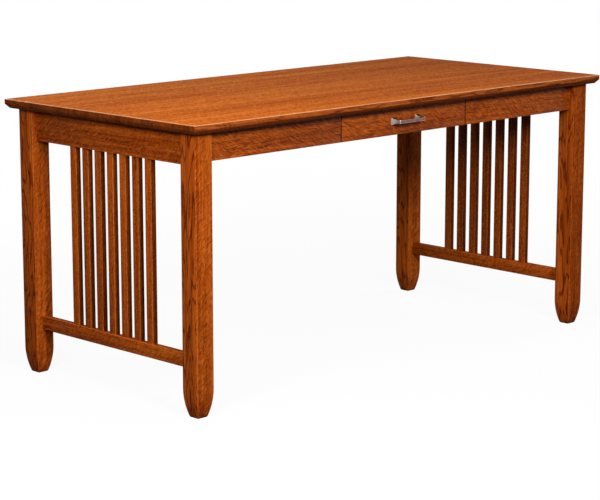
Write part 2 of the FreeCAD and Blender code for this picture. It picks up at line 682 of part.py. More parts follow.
def make_corner_block(side_name, side, way_name, way):
    """A block across a corner, notched round the leg and sunk for a screw into each apron."""
    body = new_body(f"corner_block_{way_name}_{side_name}", f"{side} * apron_inner_x", f"{way} * apron_inner_y",
                    "block_bottom")
    plan = [("block_notch", "0"), ("block_leg", "0"), ("0", "block_leg"), ("0", "block_notch"),
            ("block_notch", "block_notch")]
    corners = [(f"{-side} * {along}", f"{-way} * {across}") for along, across in plan]
    pad(body, "block", outline(body, "plan", "XY", [corners]), "block_height")
    bores = (("long", "XZ", -side, way > 0, way), ("end", "YZ", -way, side < 0, -side))
    for name, plane, along, backwards, inward in bores:
        centre = [(f"{along} * block_screw_place", "block_height / 2")]
        bore = rounds(body, f"{name}_bore", plane, centre, "wood_hole_radius")
        pocket(body, f"{name}_bore_cut", bore, "block_seat + overrun", backwards=backwards)
        sink = rounds(body, f"{name}_sink", plane, centre, "wood_head_radius + screw_end_gap",
                       f"{inward} * block_seat")
        pocket(body, f"{name}_sink_cut", sink, "block_leg", backwards=backwards)


# Drawer

def front_screw_places(level):
    return both_sides("front_screw_inner", level) + both_sides("front_screw_outer", level)


def make_drawer_front():
    """The drawer front, flush with the aprons, with the through holes of the pull."""
    body = new_body("drawer_front", "0", "drawer_front_thickness / 2 - apron_face_y", "front_apron_bottom")
    face = oblong("0", "drawer_front_height / 2", "drawer_opening - 2 * drawer_side_gap", "drawer_front_height")
    pad(body, "board", outline(body, "face", "XZ", [face]), "drawer_front_thickness", both_ways=True)
    front = number("drawer_front_thickness / 2")
    ease(body, "corners", "Chamfer", "drawer_front_chamfer", lambda start, end: max(start.y, end.y) < -front * 0.99)
    level = "pull_level - front_apron_bottom"
    holes = rounds(body, "pull_holes", "XZ", both_sides("pull_centres / 2", level), "pull_hole_radius")
    pocket(body, "pull_holes_cut", holes, "drawer_front_thickness + 2 * overrun", both_ways=True)
    back = "-drawer_front_thickness / 2"
    holes = rounds(body, "front_screw_holes", "XZ", front_screw_places(level), "wood_hole_radius", back)
    pocket(body, "front_screw_holes_cut", holes, "wood_hole_depth", backwards=True)


def dovetail(end_y, root_y, place, gap="0"):
    """Corners of one dovetail in the side view, wide at the end of the board and narrow at its root."""
    middle = f"dovetail_pitch * {place}"
    wide = f"(dovetail_width / 2 + {gap})"
    narrow = f"(dovetail_width / 2 - dovetail_flare + {gap})"
    return [(end_y, f"{middle} - {wide}"), (end_y, f"{middle} + {wide}"),
            (root_y, f"{middle} + {narrow}"), (root_y, f"{middle} - {narrow}")]


def make_box_end(label, middle_y, way):
    """The front or back board of the drawer box, with sockets for the dovetails of the sides."""
    body = new_body(label, "0", middle_y, "box_bottom")
    face = outline(body, "face", "XZ", [oblong("0", "box_height / 2", "2 * box_half", "box_height")])
    pad(body, "board", face, "box_wood", both_ways=True)
    outer = f"{way} * box_wood / 2"
    inner = f"{-way} * box_wood / 2"
    shapes = [dovetail(outer, inner, number, "dovetail_clearance") for number in TAILS]
    for side_name, side in SIDES:
        root = f"{side} * (box_inner_half - dovetail_clearance)"
        sockets = outline(body, f"sockets_{side_name}", "YZ", shapes, root)
        pocket(body, f"sockets_{side_name}_cut", sockets, "box_wood + overrun", backwards=side > 0)
    groove = oblong(f"{-way} * (box_wood - groove_depth) / 2", "groove_level", "groove_depth", "groove_height")
    groove_section = outline(body, "groove", "YZ", [groove])
    pocket(body, "groove_cut", groove_section, "2 * (box_inner_half + groove_depth)", both_ways=True)
    return body


def make_box_front():
    body = make_box_end("drawer_box_front", "box_wood / 2 - drawer_back_y", -1)
    level = "pull_level - box_bottom"
    holes = rounds(body, "pull_holes", "XZ", both_sides("pull_centres / 2", level), "pull_hole_radius")
    pocket(body, "pull_holes_cut", holes, "box_wood + 2 * overrun", both_ways=True)
    holes = rounds(body, "front_screw_holes", "XZ", front_screw_places(level), "wood_hole_radius")
    pocket(body, "front_screw_holes_cut", holes, "box_wood + 2 * overrun", both_ways=True)


def make_drawer_side(side_name, side):
    """A side of the drawer box, with three dovetails at each end and a groove for the bottom."""
    body = new_body(f"drawer_side_{side_name}", f"{side} * (box_half - box_wood / 2)", "box_centre_y", "box_bottom")
    face = outline(body, "face", "YZ", [oblong("0", "box_height / 2", "2 * box_root", "box_height")])
    pad(body, "board", face, "box_wood", both_ways=True)
    for way_name, way in ENDS:
        shapes = [dovetail(f"{way} * box_depth / 2", f"{way} * box_root", number) for number in TAILS]
        tails = outline(body, f"tails_{way_name}", "YZ", shapes)
        pad(body, f"tails_{way_name}_pad", tails, "box_wood", both_ways=True)
    groove = oblong(f"{-side} * (box_wood - groove_depth) / 2", "groove_level", "groove_depth", "groove_height")
    groove_section = outline(body, "groove", "XZ", [groove])
    pocket(body, "groove_cut", groove_section, "2 * (box_root + groove_depth)", both_ways=True)
    places = [(f"{y} - box_centre_y", "box_height / 2") for y in slide_screw_ys()]
    holes = rounds(body, "slide_holes", "YZ", places, "wood_hole_radius", f"{side} * box_wood / 2")
    pocket(body, "slide_holes_cut", holes, "drawer_side_bite + screw_end_gap", backwards=side < 0)


def make_drawer_bottom():
    body = new_body("drawer_bottom", "0", "box_centre_y", "box_bottom + bottom_lift + groove_clearance")
    panel = oblong("0", "0", "2 * (box_inner_half + bottom_reach)", "2 * (box_root + bottom_reach)")
    pad(body, "board", outline(body, "panel", "XY", [panel]), "bottom_thickness")


# Slides

def channel(reach, height, lip="slide_steel"):
    """Section of a steel channel whose web stands at 0, with its flanges turned to reach and lips at their ends."""
    return [("0", f"-{height} / 2"), (reach, f"-{height} / 2"), (reach, f"{lip} - {height} / 2"),
            (f"{reach} - slide_steel", f"{lip} - {height} / 2"),
            (f"{reach} - slide_steel", f"slide_steel - {height} / 2"),
            ("slide_steel", f"slide_steel - {height} / 2"), ("slide_steel", f"{height} / 2 - slide_steel"),
            (f"{reach} - slide_steel", f"{height} / 2 - slide_steel"),
            (f"{reach} - slide_steel", f"{height} / 2 - {lip}"), (reach, f"{height} / 2 - {lip}"),
            (reach, f"{height} / 2"), ("0", f"{height} / 2")]


def plain_channel(reach, height):
    """The same section without lips."""
    corners = channel(reach, height)
    return corners[:2] + corners[4:8] + corners[10:]


def make_slide_member(label, web_x, direction, section):
    """One rolled steel member of a slide. direction is the way its flanges point."""
    body = new_body(label, web_x, "slide_centre_y", "slide_level")
    corners = [(f"{direction} * ({x})", z) for x, z in section]
    pad(body, "steel", outline(body, "section", "XZ", [corners]), "slide_length", both_ways=True)
    highest = max(vertex.Point.z for vertex in body.Tip.Shape.Vertexes)

    def at_fold(start, end):
        level = abs(start.z) > highest * 0.999 and abs(start.x) < 1e-3
        return level and runs_along(1)(start, end)
    ease(body, "folds", "Fillet", "slide_bend", at_fold)
    return body


def cut_slide_holes(body):
    places = [(f"{step} * slide_screw_step", "0") for step in (-1, 0, 1)]
    holes = rounds(body, "screw_holes", "YZ", places, "wood_hole_radius")
    pocket(body, "screw_holes_cut", holes, "2 * slide_steel + 2 * overrun", both_ways=True)


def make_slide(side_name, side, ball):
    """Three nested channels: one on the hanger, one that floats and one on the drawer side."""
    outer = make_slide_member(f"slide_outer_{side_name}", f"{side} * opening_half", -side,
                              channel("slide_reach", "slide_height", "slide_lip"))
    cut_slide_holes(outer)
    make_slide_member(f"slide_middle_{side_name}", f"{side} * middle_web", -side,
                      plain_channel("middle_reach", "middle_height"))
    inner = make_slide_member(f"slide_inner_{side_name}", f"{side} * box_half", side,
                              plain_channel("inner_reach", "inner_height"))
    cut_slide_holes(inner)
    for row in ("outer", "inner"):
        make_ball_cage(f"ball_cage_{row}_{side_name}", side, ball, f"{row}_ball_x", f"{row}_ball_level",
                       f"{row}_bridge_x")


def make_ball():
    """One ball of the slides, eight-sided all round and in its section."""
    body = new_body("slide_ball_pattern", keep=False)
    short = f"{EIGHT_SIDES_SHARE} * ball_radius"
    rings = (("-ball_radius", short), (f"-{short}", "ball_radius"), (short, "ball_radius"), ("ball_radius", short))
    loft(body, "facets", [rounds(body, f"ring_{count}", "XY", [("0", "0")], radius, level)
                          for count, (level, radius) in enumerate(rings)])
    return body


def make_ball_cage(label, side, ball, ball_x, ball_level, bridge_x):
    """The balls that run between two members of a slide, held by an upper and a lower strip and a bridge."""
    body = new_body(f"{label}_strips", "0", "slide_centre_y", "slide_level", keep=False)
    edge = f"{side} * ({ball_x} - cage_edge)"
    back = f"{side} * ({bridge_x} + cage_steel / 2)"
    face = f"{side} * ({bridge_x} - cage_steel / 2)"
    high = f"({ball_level} + cage_steel / 2)"
    low = f"({ball_level} - cage_steel / 2)"
    bend = [(edge, f"-{high}"), (back, f"-{high}"), (back, high), (edge, high), (edge, low), (face, low),
            (face, f"-{low}"), (edge, f"-{low}")]
    pad(body, "bridge", outline(body, "bend", "XZ", [bend], "bridge_place"), "bridge_length", both_ways=True)
    strips = [[(edge, f"-{high}"), (back, f"-{high}"), (back, f"-{low}"), (edge, f"-{low}")],
              [(edge, low), (back, low), (back, high), (edge, high)]]
    pad(body, "strips", outline(body, "strip_section", "XZ", strips), "cage_length", both_ways=True)
    places = [(f"{side} * {ball_x}", f"{step} * ball_pitch") for step in BALL_PLACES]
    holes = rounds(body, "ball_holes", "XY", places, "ball_radius + cage_hole_play")
    pocket(body, "ball_holes_cut", holes, "2 * slide_height", both_ways=True)
    spots = []
    for x, y in places:
        for row in (-1, 1):
            spots.append((x, f"slide_centre_y + {y}", f"slide_level + {row} * {ball_level}", FreeCAD.Rotation()))
    gather(label, [body] + copies(f"{label}_balls", ball, spots))


# Pull

def draw_pull_plan(sketch):
    """The pull seen from above: two posts that flare to their bases, joined by the bar."""
    half = "pull_centres / 2"
    outer_base = f"({half} + pull_base / 2)"
    inner_base = f"({half} - pull_base / 2)"
    outer_neck = f"({half} + pull_neck_width / 2)"
    inner_neck = f"({half} - pull_neck_width / 2)"
    corners = [
        (f"-{outer_base}", "0"), (f"-{outer_base}", "-pull_rim"), (f"-{outer_neck}", "-flare_end"),
        (f"-{outer_neck}", "-pull_reach"), (outer_neck, "-pull_reach"), (outer_neck, "-flare_end"),
        (outer_base, "-pull_rim"), (outer_base, "0"), (inner_base, "0"), (inner_base, "-pull_rim"),
        (inner_neck, "-flare_end"), (inner_neck, "-bar_back"), (f"-{inner_neck}", "-bar_back"),
        (f"-{inner_neck}", "-flare_end"), (f"-{inner_base}", "-pull_rim"), (f"-{inner_base}", "0"),
    ]
    draw(sketch, corners, {
        1: ((f"-{outer_neck} - plan_radius", "-flare_end"), -1),
        5: ((f"{outer_neck} + plan_radius", "-flare_end"), -1),
        9: ((f"{inner_neck} - plan_radius", "-flare_end"), -1),
        13: ((f"plan_radius - {inner_neck}", "-flare_end"), -1),
    })


def draw_post_side(sketch):
    """A post seen from its side, run past its base and its front so that it can be cut clean."""
    half = "pull_neck_height / 2"
    corners = [
        ("-pull_reach - overrun", f"-{half}"), ("-flare_end", f"-{half}"), ("-pull_rim", "-pull_base / 2"),
        ("overrun", "-pull_base / 2"), ("overrun", "pull_base / 2"), ("-pull_rim", "pull_base / 2"),
        ("-flare_end", half), ("-pull_reach - overrun", half),
    ]
    draw(sketch, corners, {
        1: (("-flare_end", f"-{half} - side_radius"), -1),
        5: (("-flare_end", f"{half} + side_radius"), -1),
    })


def make_pull():
    """Two thin posts that flare out to square bases, and a flat bar between them."""
    body = new_body("drawer_pull", "0", "-apron_face_y", "pull_level")
    plan = new_sketch(body, "plan", "XY")
    draw_pull_plan(plan)
    pad(body, "blank", plan, "pull_base + 2 * overrun", both_ways=True)
    side_view = new_sketch(body, "side_view", "YZ")
    draw(side_view, oblong("0", "0", "4 * pull_reach", "pull_base + 6 * overrun"))
    draw_post_side(side_view)
    pocket(body, "side_faces", side_view, "2 * pull_centres", both_ways=True)
    front = number("pull_reach")
    ease(body, "front_corners", "Fillet", "pull_round", lambda start, end: max(start.y, end.y) < -front * 0.999)
    bar = oblong("0", "-pull_reach", "pull_centres - pull_neck_width", "4 * pull_bar_depth")
    for name, way in (("above", 1), ("below", -1)):
        waist = outline(body, f"waist_{name}", "XY", [bar], f"{way} * pull_bar_height / 2")
        pocket(body, f"waist_{name}_cut", waist, "pull_base", backwards=way > 0)
    holes = rounds(body, "threads", "XZ", both_sides("pull_centres / 2", "0"), "pull_hole_radius")
    pocket(body, "threads_cut", holes, "pull_thread_depth", backwards=True)


# Screws and clips

def towards(x, y, z):
    """The turn that points +Z another way."""
    return FreeCAD.Rotation(FreeCAD.Vector(0, 0, 1), FreeCAD.Vector(x, y, z))


def make_screws(label, size, length, places):
    """Pan-head screws of one length. Each place is where the underside of a head sits."""
    body = new_body(f"{label}_pattern", keep=False)
    middle = [("0", "0")]
    head = f"{size}_head_radius"
    loft(body, "head", [rounds(body, "head_base", "XY", middle, head),
                        rounds(body, "head_top", "XY", middle, f"{head} - head_crown", f"-{size}_head_height")])
    pad(body, "shank", rounds(body, "shank_section", "XY", middle, f"{size}_screw_radius"), length)
    gather(label, copies(f"{label}_copy", body, places))


def make_all_screws():
    up = towards(0, 0, 1)
    forward = towards(0, -1, 0)
    block_places = []
    for side_name, side in SIDES:
        for way_name, way in ENDS:
            long_place = (f"{side} * (apron_inner_x - block_screw_place)", f"{way} * (apron_inner_y - block_seat)",
                          "block_screw_level", towards(0, way, 0))
            end_place = (f"{side} * (apron_inner_x - block_seat)", f"{way} * (apron_inner_y - block_screw_place)",
                         "block_screw_level", towards(side, 0, 0))
            block_places += [long_place, end_place]
    make_screws("corner_block_screws", "wood", "block_seat + wood_screw_bite", block_places)
    places = [(x, y, "rail_bottom", up) for x, y in rail_screw_places()]
    make_screws("top_rail_screws", "wood", "rail_thickness + wood_screw_bite", places)
    places = [(x, y, "leg_height - clip_steel", up) for x, y in clip_screw_places()]
    make_screws("top_clip_screws", "wood", "clip_steel + wood_screw_bite", places)
    hanger_places = []
    drawer_places = []
    for side_name, side in SIDES:
        for y in slide_screw_ys():
            hanger_places.append((f"{side} * (opening_half - slide_steel)", y, "slide_level", towards(side, 0, 0)))
            drawer_places.append((f"{side} * (box_half + slide_steel)", y, "slide_level", towards(-side, 0, 0)))
    make_screws("slide_hanger_screws", "wood", "slide_steel + wood_screw_bite", hanger_places)
    make_screws("slide_drawer_screws", "wood", "slide_steel + drawer_side_bite", drawer_places)
    inside = "box_wood - drawer_back_y"
    places = [(x, inside, z, forward) for x, z in front_screw_places("pull_level")]
    make_screws("drawer_front_screws", "wood", "box_wood + wood_screw_bite", places)
    places = [(x, inside, z, forward) for x, z in both_sides("pull_centres / 2", "pull_level")]
    make_screws("pull_screws", "pull", "box_wood + drawer_front_thickness + pull_screw_bite", places)


def make_clips():
    """Stepped steel clips: the tongue sits in the apron's groove and the flange is screwed up to the top."""
    body = new_body("top_clips_pattern", keep=False)
    low = "-clip_level - clip_steel / 2"
    high = "clip_steel / 2 - clip_level"
    corners = [("-clip_tongue", low), ("clip_gap + clip_steel", low), ("clip_gap + clip_steel", "-clip_steel"),
               ("clip_gap + clip_flange", "-clip_steel"), ("clip_gap + clip_flange", "0"), ("clip_gap", "0"),
               ("clip_gap", high), ("-clip_tongue", high)]
    pad(body, "steel", outline(body, "section", "XZ", [corners]), "clip_width", both_ways=True)
    hole = rounds(body, "screw_hole", "XY", [("clip_screw_place", "0")], "wood_hole_radius")
    pocket(body, "screw_hole_cut", hole, "clip_steel + overrun")
    upright = FreeCAD.Vector(0, 0, 1)
    places = []
    for side_name, side in SIDES:
        turn = FreeCAD.Rotation(upright, 0 if side < 0 else 180)
        for way_name, way in ENDS:
            places.append((f"{side} * apron_inner_x", f"{way} * end_clip_place", "leg_height", turn))
    turn = FreeCAD.Rotation(upright, -90)
    for distance in ("back_clip_inner", "back_clip_outer"):
        places += [(x, y, "leg_height", turn) for x, y in both_sides(distance, "apron_inner_y")]
    gather("top_clips", copies("top_clips_copy", body, places))


# The whole desk

def make_desk():
    ball = make_ball()
    make_top()
    for side_name, side in SIDES:
        for way_name, way in ENDS:
            make_leg(side_name, side, way_name, way)
        make_slatted_end(side_name, side)
        make_front_apron(side_name, side)
        make_hanger(side_name, side)
        for way_name, way in ENDS:
            make_corner_block(side_name, side, way_name, way)
        make_drawer_side(side_name, side)
        make_slide(side_name, side, ball)
    make_back_apron()
    make_top_rail()
    make_drawer_front()
    make_box_front()
    make_box_end("drawer_box_back", "box_depth - box_wood / 2 - drawer_back_y", 1)
    make_drawer_bottom()
    make_pull()
    make_all_screws()
    make_clips()


def check(items):
    """Stop if any object failed or any piece has no sound solid."""
    for item in doc.Objects:
        faults = [state for state in item.State if state in ("Invalid", "Error")]
        if faults:
            raise ValueError(f"{item.Name} is {faults}")
    for piece in items:
        shape = piece.Shape
        if shape.isNull() or not shape.isValid() or not shape.Solids:
            raise ValueError(f"{piece.Label} has no sound solid")


make_desk()
doc.recompute()
check(pieces)
os.makedirs("parts", exist_ok=True)
for piece in pieces:
    piece.Shape.exportStep(f"parts/{piece.Label}.step")
    print(f"{piece.Label}: {len(piece.Shape.Solids)} solid, {piece.Shape.Volume / 1000:.1f} cm3")
print(f"{len(pieces)} pieces")
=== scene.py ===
# %% [markdown]
# A work desk in stained oak
#
# This lesson dresses a finished CAD model. The CAD nodes say where every piece is and how it moves. Here
# each one gets the softened edges, the grain and the wear of the real desk, and nothing is moved.

# %% Load the frame
import json
import math
import random

import bmesh
import bpy
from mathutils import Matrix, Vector


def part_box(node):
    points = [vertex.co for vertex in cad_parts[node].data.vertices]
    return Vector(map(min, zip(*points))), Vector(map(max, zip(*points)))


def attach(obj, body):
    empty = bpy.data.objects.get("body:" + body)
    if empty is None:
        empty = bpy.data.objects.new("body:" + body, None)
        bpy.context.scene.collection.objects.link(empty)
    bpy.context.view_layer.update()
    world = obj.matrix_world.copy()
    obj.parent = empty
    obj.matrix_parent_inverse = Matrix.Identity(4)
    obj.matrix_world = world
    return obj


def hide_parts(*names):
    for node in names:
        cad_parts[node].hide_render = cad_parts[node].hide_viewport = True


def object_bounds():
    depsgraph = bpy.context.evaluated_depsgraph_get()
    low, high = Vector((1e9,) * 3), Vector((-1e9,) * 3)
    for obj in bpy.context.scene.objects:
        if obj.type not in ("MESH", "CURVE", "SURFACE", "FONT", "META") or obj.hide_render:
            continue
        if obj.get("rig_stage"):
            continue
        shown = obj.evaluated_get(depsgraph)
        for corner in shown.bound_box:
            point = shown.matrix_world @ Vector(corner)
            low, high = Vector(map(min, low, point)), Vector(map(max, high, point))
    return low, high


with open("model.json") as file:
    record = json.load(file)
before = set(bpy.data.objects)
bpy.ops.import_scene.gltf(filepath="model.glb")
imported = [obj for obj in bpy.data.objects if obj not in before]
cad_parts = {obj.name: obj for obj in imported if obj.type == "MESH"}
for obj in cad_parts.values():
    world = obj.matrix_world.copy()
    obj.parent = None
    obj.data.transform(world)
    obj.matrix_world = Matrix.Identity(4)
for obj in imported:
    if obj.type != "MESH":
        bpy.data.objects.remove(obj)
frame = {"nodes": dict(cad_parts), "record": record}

cad_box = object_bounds()
body_of_node = {}
for body, members in frame["record"]["behaviour"]["bodies"].items():
    for node in members:
        body_of_node[node] = body

# %% [markdown]
# Camera
#
# The desk was seen from its front left corner with a long lens, a little above the top. Such a lens keeps
# the far legs almost as large as the near ones. The place, turn and lens come from the corners of the top
# and the feet. A shifted lens would keep upright legs upright in the picture, but it would also push every
# other view off its middle, so the camera looks down a little instead.

# %% Camera
CAMERA_PLACE = (-4.1715, -4.1592, 1.4468)
CAMERA_TURN = 44.624
CAMERA_DROP = 11.161
CAMERA_LENS = 124.06
LEVEL_VIEW = 90
SENSOR_WIDTH = 36

camera_angles = (math.radians(LEVEL_VIEW - CAMERA_DROP), 0, math.radians(-CAMERA_TURN))
bpy.ops.object.camera_add(location=CAMERA_PLACE, rotation=camera_angles)
camera = bpy.context.object
camera.data.sensor_width = SENSOR_WIDTH
camera.data.lens = CAMERA_LENS
bpy.context.scene.camera = camera
bpy.context.scene.view_settings.view_transform = "Standard"
print("camera lens", CAMERA_LENS, "mm")

# %% [markdown]
# Node helpers
#
# A material is a small network of nodes. It could be drawn in the node editor, but a few helpers make it as
# short to read as a sum: each adds one node, fills or links its sockets, and gives back its output.

# %% Node helpers
def add(tree, kind, sockets=None, **settings):
    """A new node. A socket is filled with a value, or linked if it is given another node's output."""
    node = tree.nodes.new(kind)
    for name, value in settings.items():
        setattr(node, name, value)
    for key, value in (sockets or {}).items():
        if isinstance(value, bpy.types.NodeSocket):
            tree.links.new(value, node.inputs[key])
        else:
            node.inputs[key].default_value = value
    return node


def mixed(tree, share, first, second):
    """A mix of two colours, which a Mix node takes at 6 and 7 and gives at 2. share 0 gives the first."""
    return add(tree, "ShaderNodeMix", {0: share, 6: first, 7: second}, data_type="RGBA").outputs[2]


def maths(tree, operation, first, second=0.0, held=False):
    """The output of a sum, product or other operation. held keeps it between 0 and 1."""
    node = add(tree, "ShaderNodeMath", {0: first, 1: second}, operation=operation, use_clamp=held)
    return node.outputs[0]


def total(tree, first, *others):
    """The sum of several outputs or numbers."""
    for other in others:
        first = maths(tree, "ADD", first, other)
    return first


def vectors(tree, operation, first, second):
    return add(tree, "ShaderNodeVectorMath", {0: first, 1: second}, operation=operation).outputs[0]


def spread(tree, value, low, high, first=0.0, last=1.0):
    """A value that goes from low to high, stretched to go from first to last and held there."""
    return add(tree, "ShaderNodeMapRange", {0: value, 1: low, 2: high, 3: first, 4: last}).outputs[0]


def ramp(tree, value, *stops):
    """Colours between stops, each a place and a colour."""
    node = add(tree, "ShaderNodeValToRGB", {0: value})
    band = node.color_ramp
    while len(band.elements) < len(stops):
        band.elements.new(0.5)
    for element, (place, colour) in zip(band.elements, stops):
        element.position = place
        element.color = (*colour, 1)
    return node.outputs[0]


def new_material(name):
    material = bpy.data.materials.new(name)
    material.use_nodes = True
    return material, material.node_tree, material.node_tree.nodes["Principled BSDF"]


print("node helpers ready")

# %% [markdown]
# The floor
#
# The desk stands on a white sweep. A floor can be lit until it is white, but then the desk gets too much
# light. So the camera and the shiny surfaces see it as white, which Light Path tells apart, and the lamps
# stay weak. Near the desk the floor keeps some of its own shading, so it takes a soft shadow, and further
# out it fades to plain white. It throws no light back up, because the real desk's inner sides are dark.

# %% The floor
WHITE = (1, 1, 1, 1)
FLOOR_SIZE = 60
FLOOR_COLOUR = (0.8, 0.8, 0.8, 1)
FLOOR_ROUGHNESS = 0.9
WHITE_SHARE_NEAR = 0.93
FADE_START = 1.2
FADE_END = 3.5


def seen_directly(tree):
    """1 for rays from the camera and for what mirrors and glass show, 0 for light that falls on things."""
    rays = add(tree, "ShaderNodeLightPath")
    direct = maths(tree, "ADD", rays.outputs["Is Camera Ray"], rays.outputs["Is Glossy Ray"], held=True)
    return maths(tree, "ADD", direct, rays.outputs["Is Transmission Ray"], held=True)


bpy.ops.mesh.primitive_plane_add(size=FLOOR_SIZE)
floor = bpy.context.object
floor.name = "studio_floor"
floor_white, tree, shader = new_material("floor_white")
shader.inputs["Base Color"].default_value = FLOOR_COLOUR
shader.inputs["Roughness"].default_value = FLOOR_ROUGHNESS
glow = add(tree, "ShaderNodeEmission", {"Color": WHITE, "Strength": 1.0})
place = add(tree, "ShaderNodeTexCoord").outputs["Object"]
distance = add(tree, "ShaderNodeVectorMath", {0: place}, operation="LENGTH").outputs["Value"]
white_share = spread(tree, distance, FADE_START, FADE_END, WHITE_SHARE_NEAR, 1.0)
share = maths(tree, "MULTIPLY", seen_directly(tree), white_share)
cover = add(tree, "ShaderNodeMixShader", {0: share, 1: shader.outputs[0], 2: glow.outputs[0]})
tree.links.new(cover.outputs[0], tree.nodes["Material Output"].inputs["Surface"])
floor.data.materials.append(floor_white)
floor.visible_diffuse = False
floor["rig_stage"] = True
print("floor:", FLOOR_SIZE, "m wide, plain white beyond", FADE_END, "m")

# %% [markdown]
# The room
#
# The room works like the floor. The camera and the shiny surfaces see it white, and everything else gets a
# faint even light from it, just enough to keep the darkest corners from going black.

# %% The room
ROOM_LIGHT = 0.06

world = bpy.data.worlds.new("studio_room")
world.use_nodes = True
bpy.context.scene.world = world
tree = world.node_tree
strength = maths(tree, "MAXIMUM", seen_directly(tree), ROOM_LIGHT)
tree.links.new(strength, tree.nodes["Background"].inputs["Strength"])
tree.nodes["Background"].inputs["Color"].default_value = WHITE
print("room light", ROOM_LIGHT)

# %% [markdown]
# The lamps
#
# Area lamps about a metre wide give the soft shadow edges of a studio, which a sun or a point lamp can't.
# One stands in front, to the left, one at the left end, and a weak one hangs over the top. The first two are
# low, so the overhang of the top throws only a short shadow, and near, so the light falls off towards the
# right and the back. Two more, lower still, light the right end and the back for whoever walks round.

# %% The lamps
def softbox(name, place, target, width, height, watts):
    """A rectangular lamp that faces a target."""
    bpy.ops.object.light_add(type="AREA", location=place)
    lamp = bpy.context.object
    lamp.name = name
    lamp.rotation_euler = (Vector(target) - Vector(place)).to_track_quat("-Z", "Y").to_euler()
    lamp.data.shape = "RECTANGLE"
    lamp.data.size = width
    lamp.data.size_y = height
    lamp.data.energy = watts
    print(name, watts, "W")


softbox("lamp_front", (-1.5, -4.0, 2.5), (-0.3, -0.3, 0.5), 1.1, 1.1, 167)
softbox("lamp_left", (-2.8, -1.3, 1.84), (-0.6, 0, 0.6), 1.0, 1.0, 62)
softbox("lamp_over", (-0.6, -0.7, 2.6), (-0.5, -0.4, 0.7), 1.2, 1.2, 12)
softbox("lamp_right", (3.6, -0.3, 1.2), (0.8, 0, 0.5), 1.4, 0.9, 42)
softbox("lamp_back", (0.2, 3.4, 1.2), (0, 0.4, 0.5), 1.8, 0.9, 45)

# %% [markdown]
# The colours of stained oak
#
# Stain soaks into oak unevenly. A single brown would look like plastic, so each stain here has three
# colours, from the darkest streak to the palest. The upper face of the top is lighter than the rest, as
# painted sheen, the soft shine of a lacquered top seen at a low angle, and its upright edge is darker. Cut
# ends take up more stain and are dark, and the same dark stain is painted shade on the downward bevel of
# the top and on the narrow edges of the slats. The seams beside the drawer are darker still, as painted
# shade in the gaps. The arris of the top is rubbed pale, and its pale colour also paints its highlight.

# %% The colours of stained oak
STAIN_STOPS = (0.05, 0.5, 0.95)
STAIN = ((0.080, 0.010, 0.001), (0.305, 0.050, 0.0035), (0.560, 0.122, 0.012))
# The top's upper face is stained lighter as painted sheen.
TOP_STAIN_AND_SHEEN = ((0.210, 0.034, 0.003), (0.490, 0.101, 0.007), (0.740, 0.205, 0.025))
RIM_STAIN = ((0.060, 0.008, 0.001), (0.225, 0.038, 0.0050), (0.410, 0.095, 0.016))
# End grain stain, also used as painted shade on the top's bevel and the slats' narrow edges.
END_GRAIN_AND_SHADE_STAIN = ((0.030, 0.005, 0.001), (0.130, 0.022, 0.002), (0.240, 0.050, 0.004))
# End grain darkened further as painted shade, for the gaps beside the drawer.
SEAM_SHADE_STAIN = ((0.015, 0.003, 0.0006), (0.055, 0.010, 0.0012), (0.110, 0.022, 0.002))
# Rubbed pale arris: wear, and its pale colour is also a painted highlight.
ARRIS_WEAR_AND_HIGHLIGHT = ((0.260, 0.095, 0.030), (0.490, 0.205, 0.075), (0.700, 0.330, 0.140))
RAY_COLOUR = (0.560, 0.160, 0.018, 1)
PORE_COLOUR = (0.045, 0.007, 0.001, 1)
print("stain from", STAIN[0], "to", STAIN[-1])

# %% [markdown]
# Coordinates along the grain
#
# All figure is stretched along the grain. It could be laid out in a UV map, but wood is solid and its figure
# runs right through it. So the pattern reads Object coordinates in metres, turned until X lies along the
# grain: its sizes are real, and it meets at every edge. Each piece carries a number of its own in an
# attribute, which shifts the pattern, because no two boards are cut from the same place.

# %% Coordinates along the grain
GRAIN_TURNS = {"x": (0, 0, 0), "y": (0, 0, -math.pi / 2), "z": (0, math.pi / 2, 0)}


def noise(tree, place, scale, detail=2.0, distortion=0.0):
    """Noise whose features are 1 / scale metres wide along each axis."""
    stretched = vectors(tree, "MULTIPLY", place, scale)
    sockets = {"Vector": stretched, "Scale": 1.0, "Detail": detail, "Distortion": distortion}
    return add(tree, "ShaderNodeTexNoise", sockets).outputs["Fac"]


def centred(tree, value, gain):
    """A value from 0 to 1 made to swing round zero."""
    return maths(tree, "MULTIPLY", maths(tree, "SUBTRACT", value, 0.5), gain)


def layer(tree, place, scale, gain, detail=2.0, distortion=0.0):
    """Noise that makes the tone swing round zero. gain is how far."""
    return centred(tree, noise(tree, place, scale, detail, distortion), gain)


def along_grain(tree, axis):
    """Object coordinates with X along the grain, and the same shifted by the board's own number."""
    place = add(tree, "ShaderNodeTexCoord").outputs["Object"]
    turned = add(tree, "ShaderNodeMapping", {"Vector": place, "Rotation": GRAIN_TURNS[axis]}).outputs[0]
    board = add(tree, "ShaderNodeAttribute", attribute_name="board").outputs["Vector"]
    return turned, vectors(tree, "ADD", turned, board)


def swayed(tree, place, sway, axes=(1, 2)):
    """Coordinates pushed along some axes by a slow noise, so that straight grain wanders."""
    push = layer(tree, place, **sway)
    offset = add(tree, "ShaderNodeCombineXYZ", {axis: push for axis in axes}).outputs[0]
    return vectors(tree, "ADD", place, offset)


def tilt(tree, place, angle, axis=1):
    """Coordinates turned in the face of the board, for figure that crosses the grain."""
    turn = [0, 0, 0]
    turn[axis] = angle
    return add(tree, "ShaderNodeMapping", {"Vector": place, "Rotation": turn}).outputs[0]


print("grain can run along", ", ".join(GRAIN_TURNS))

# %% [markdown]
# The glue lines of the top
#
# The top is glued up from several boards, which a trained eye sees as small jumps in tone and figure. It
# could be modelled as boards, but planed and sanded together they are one surface. So only the pattern
# jumps: the place across the grain is divided by the width of a board, and each whole number gives a chance
# shift and tone.

# %% The glue lines of the top
TOP_BOARD_WIDTH = 0.118
GLUE_SHIFT = (7.0, 3.0, 3.0)
GLUE_TONE = 0.16


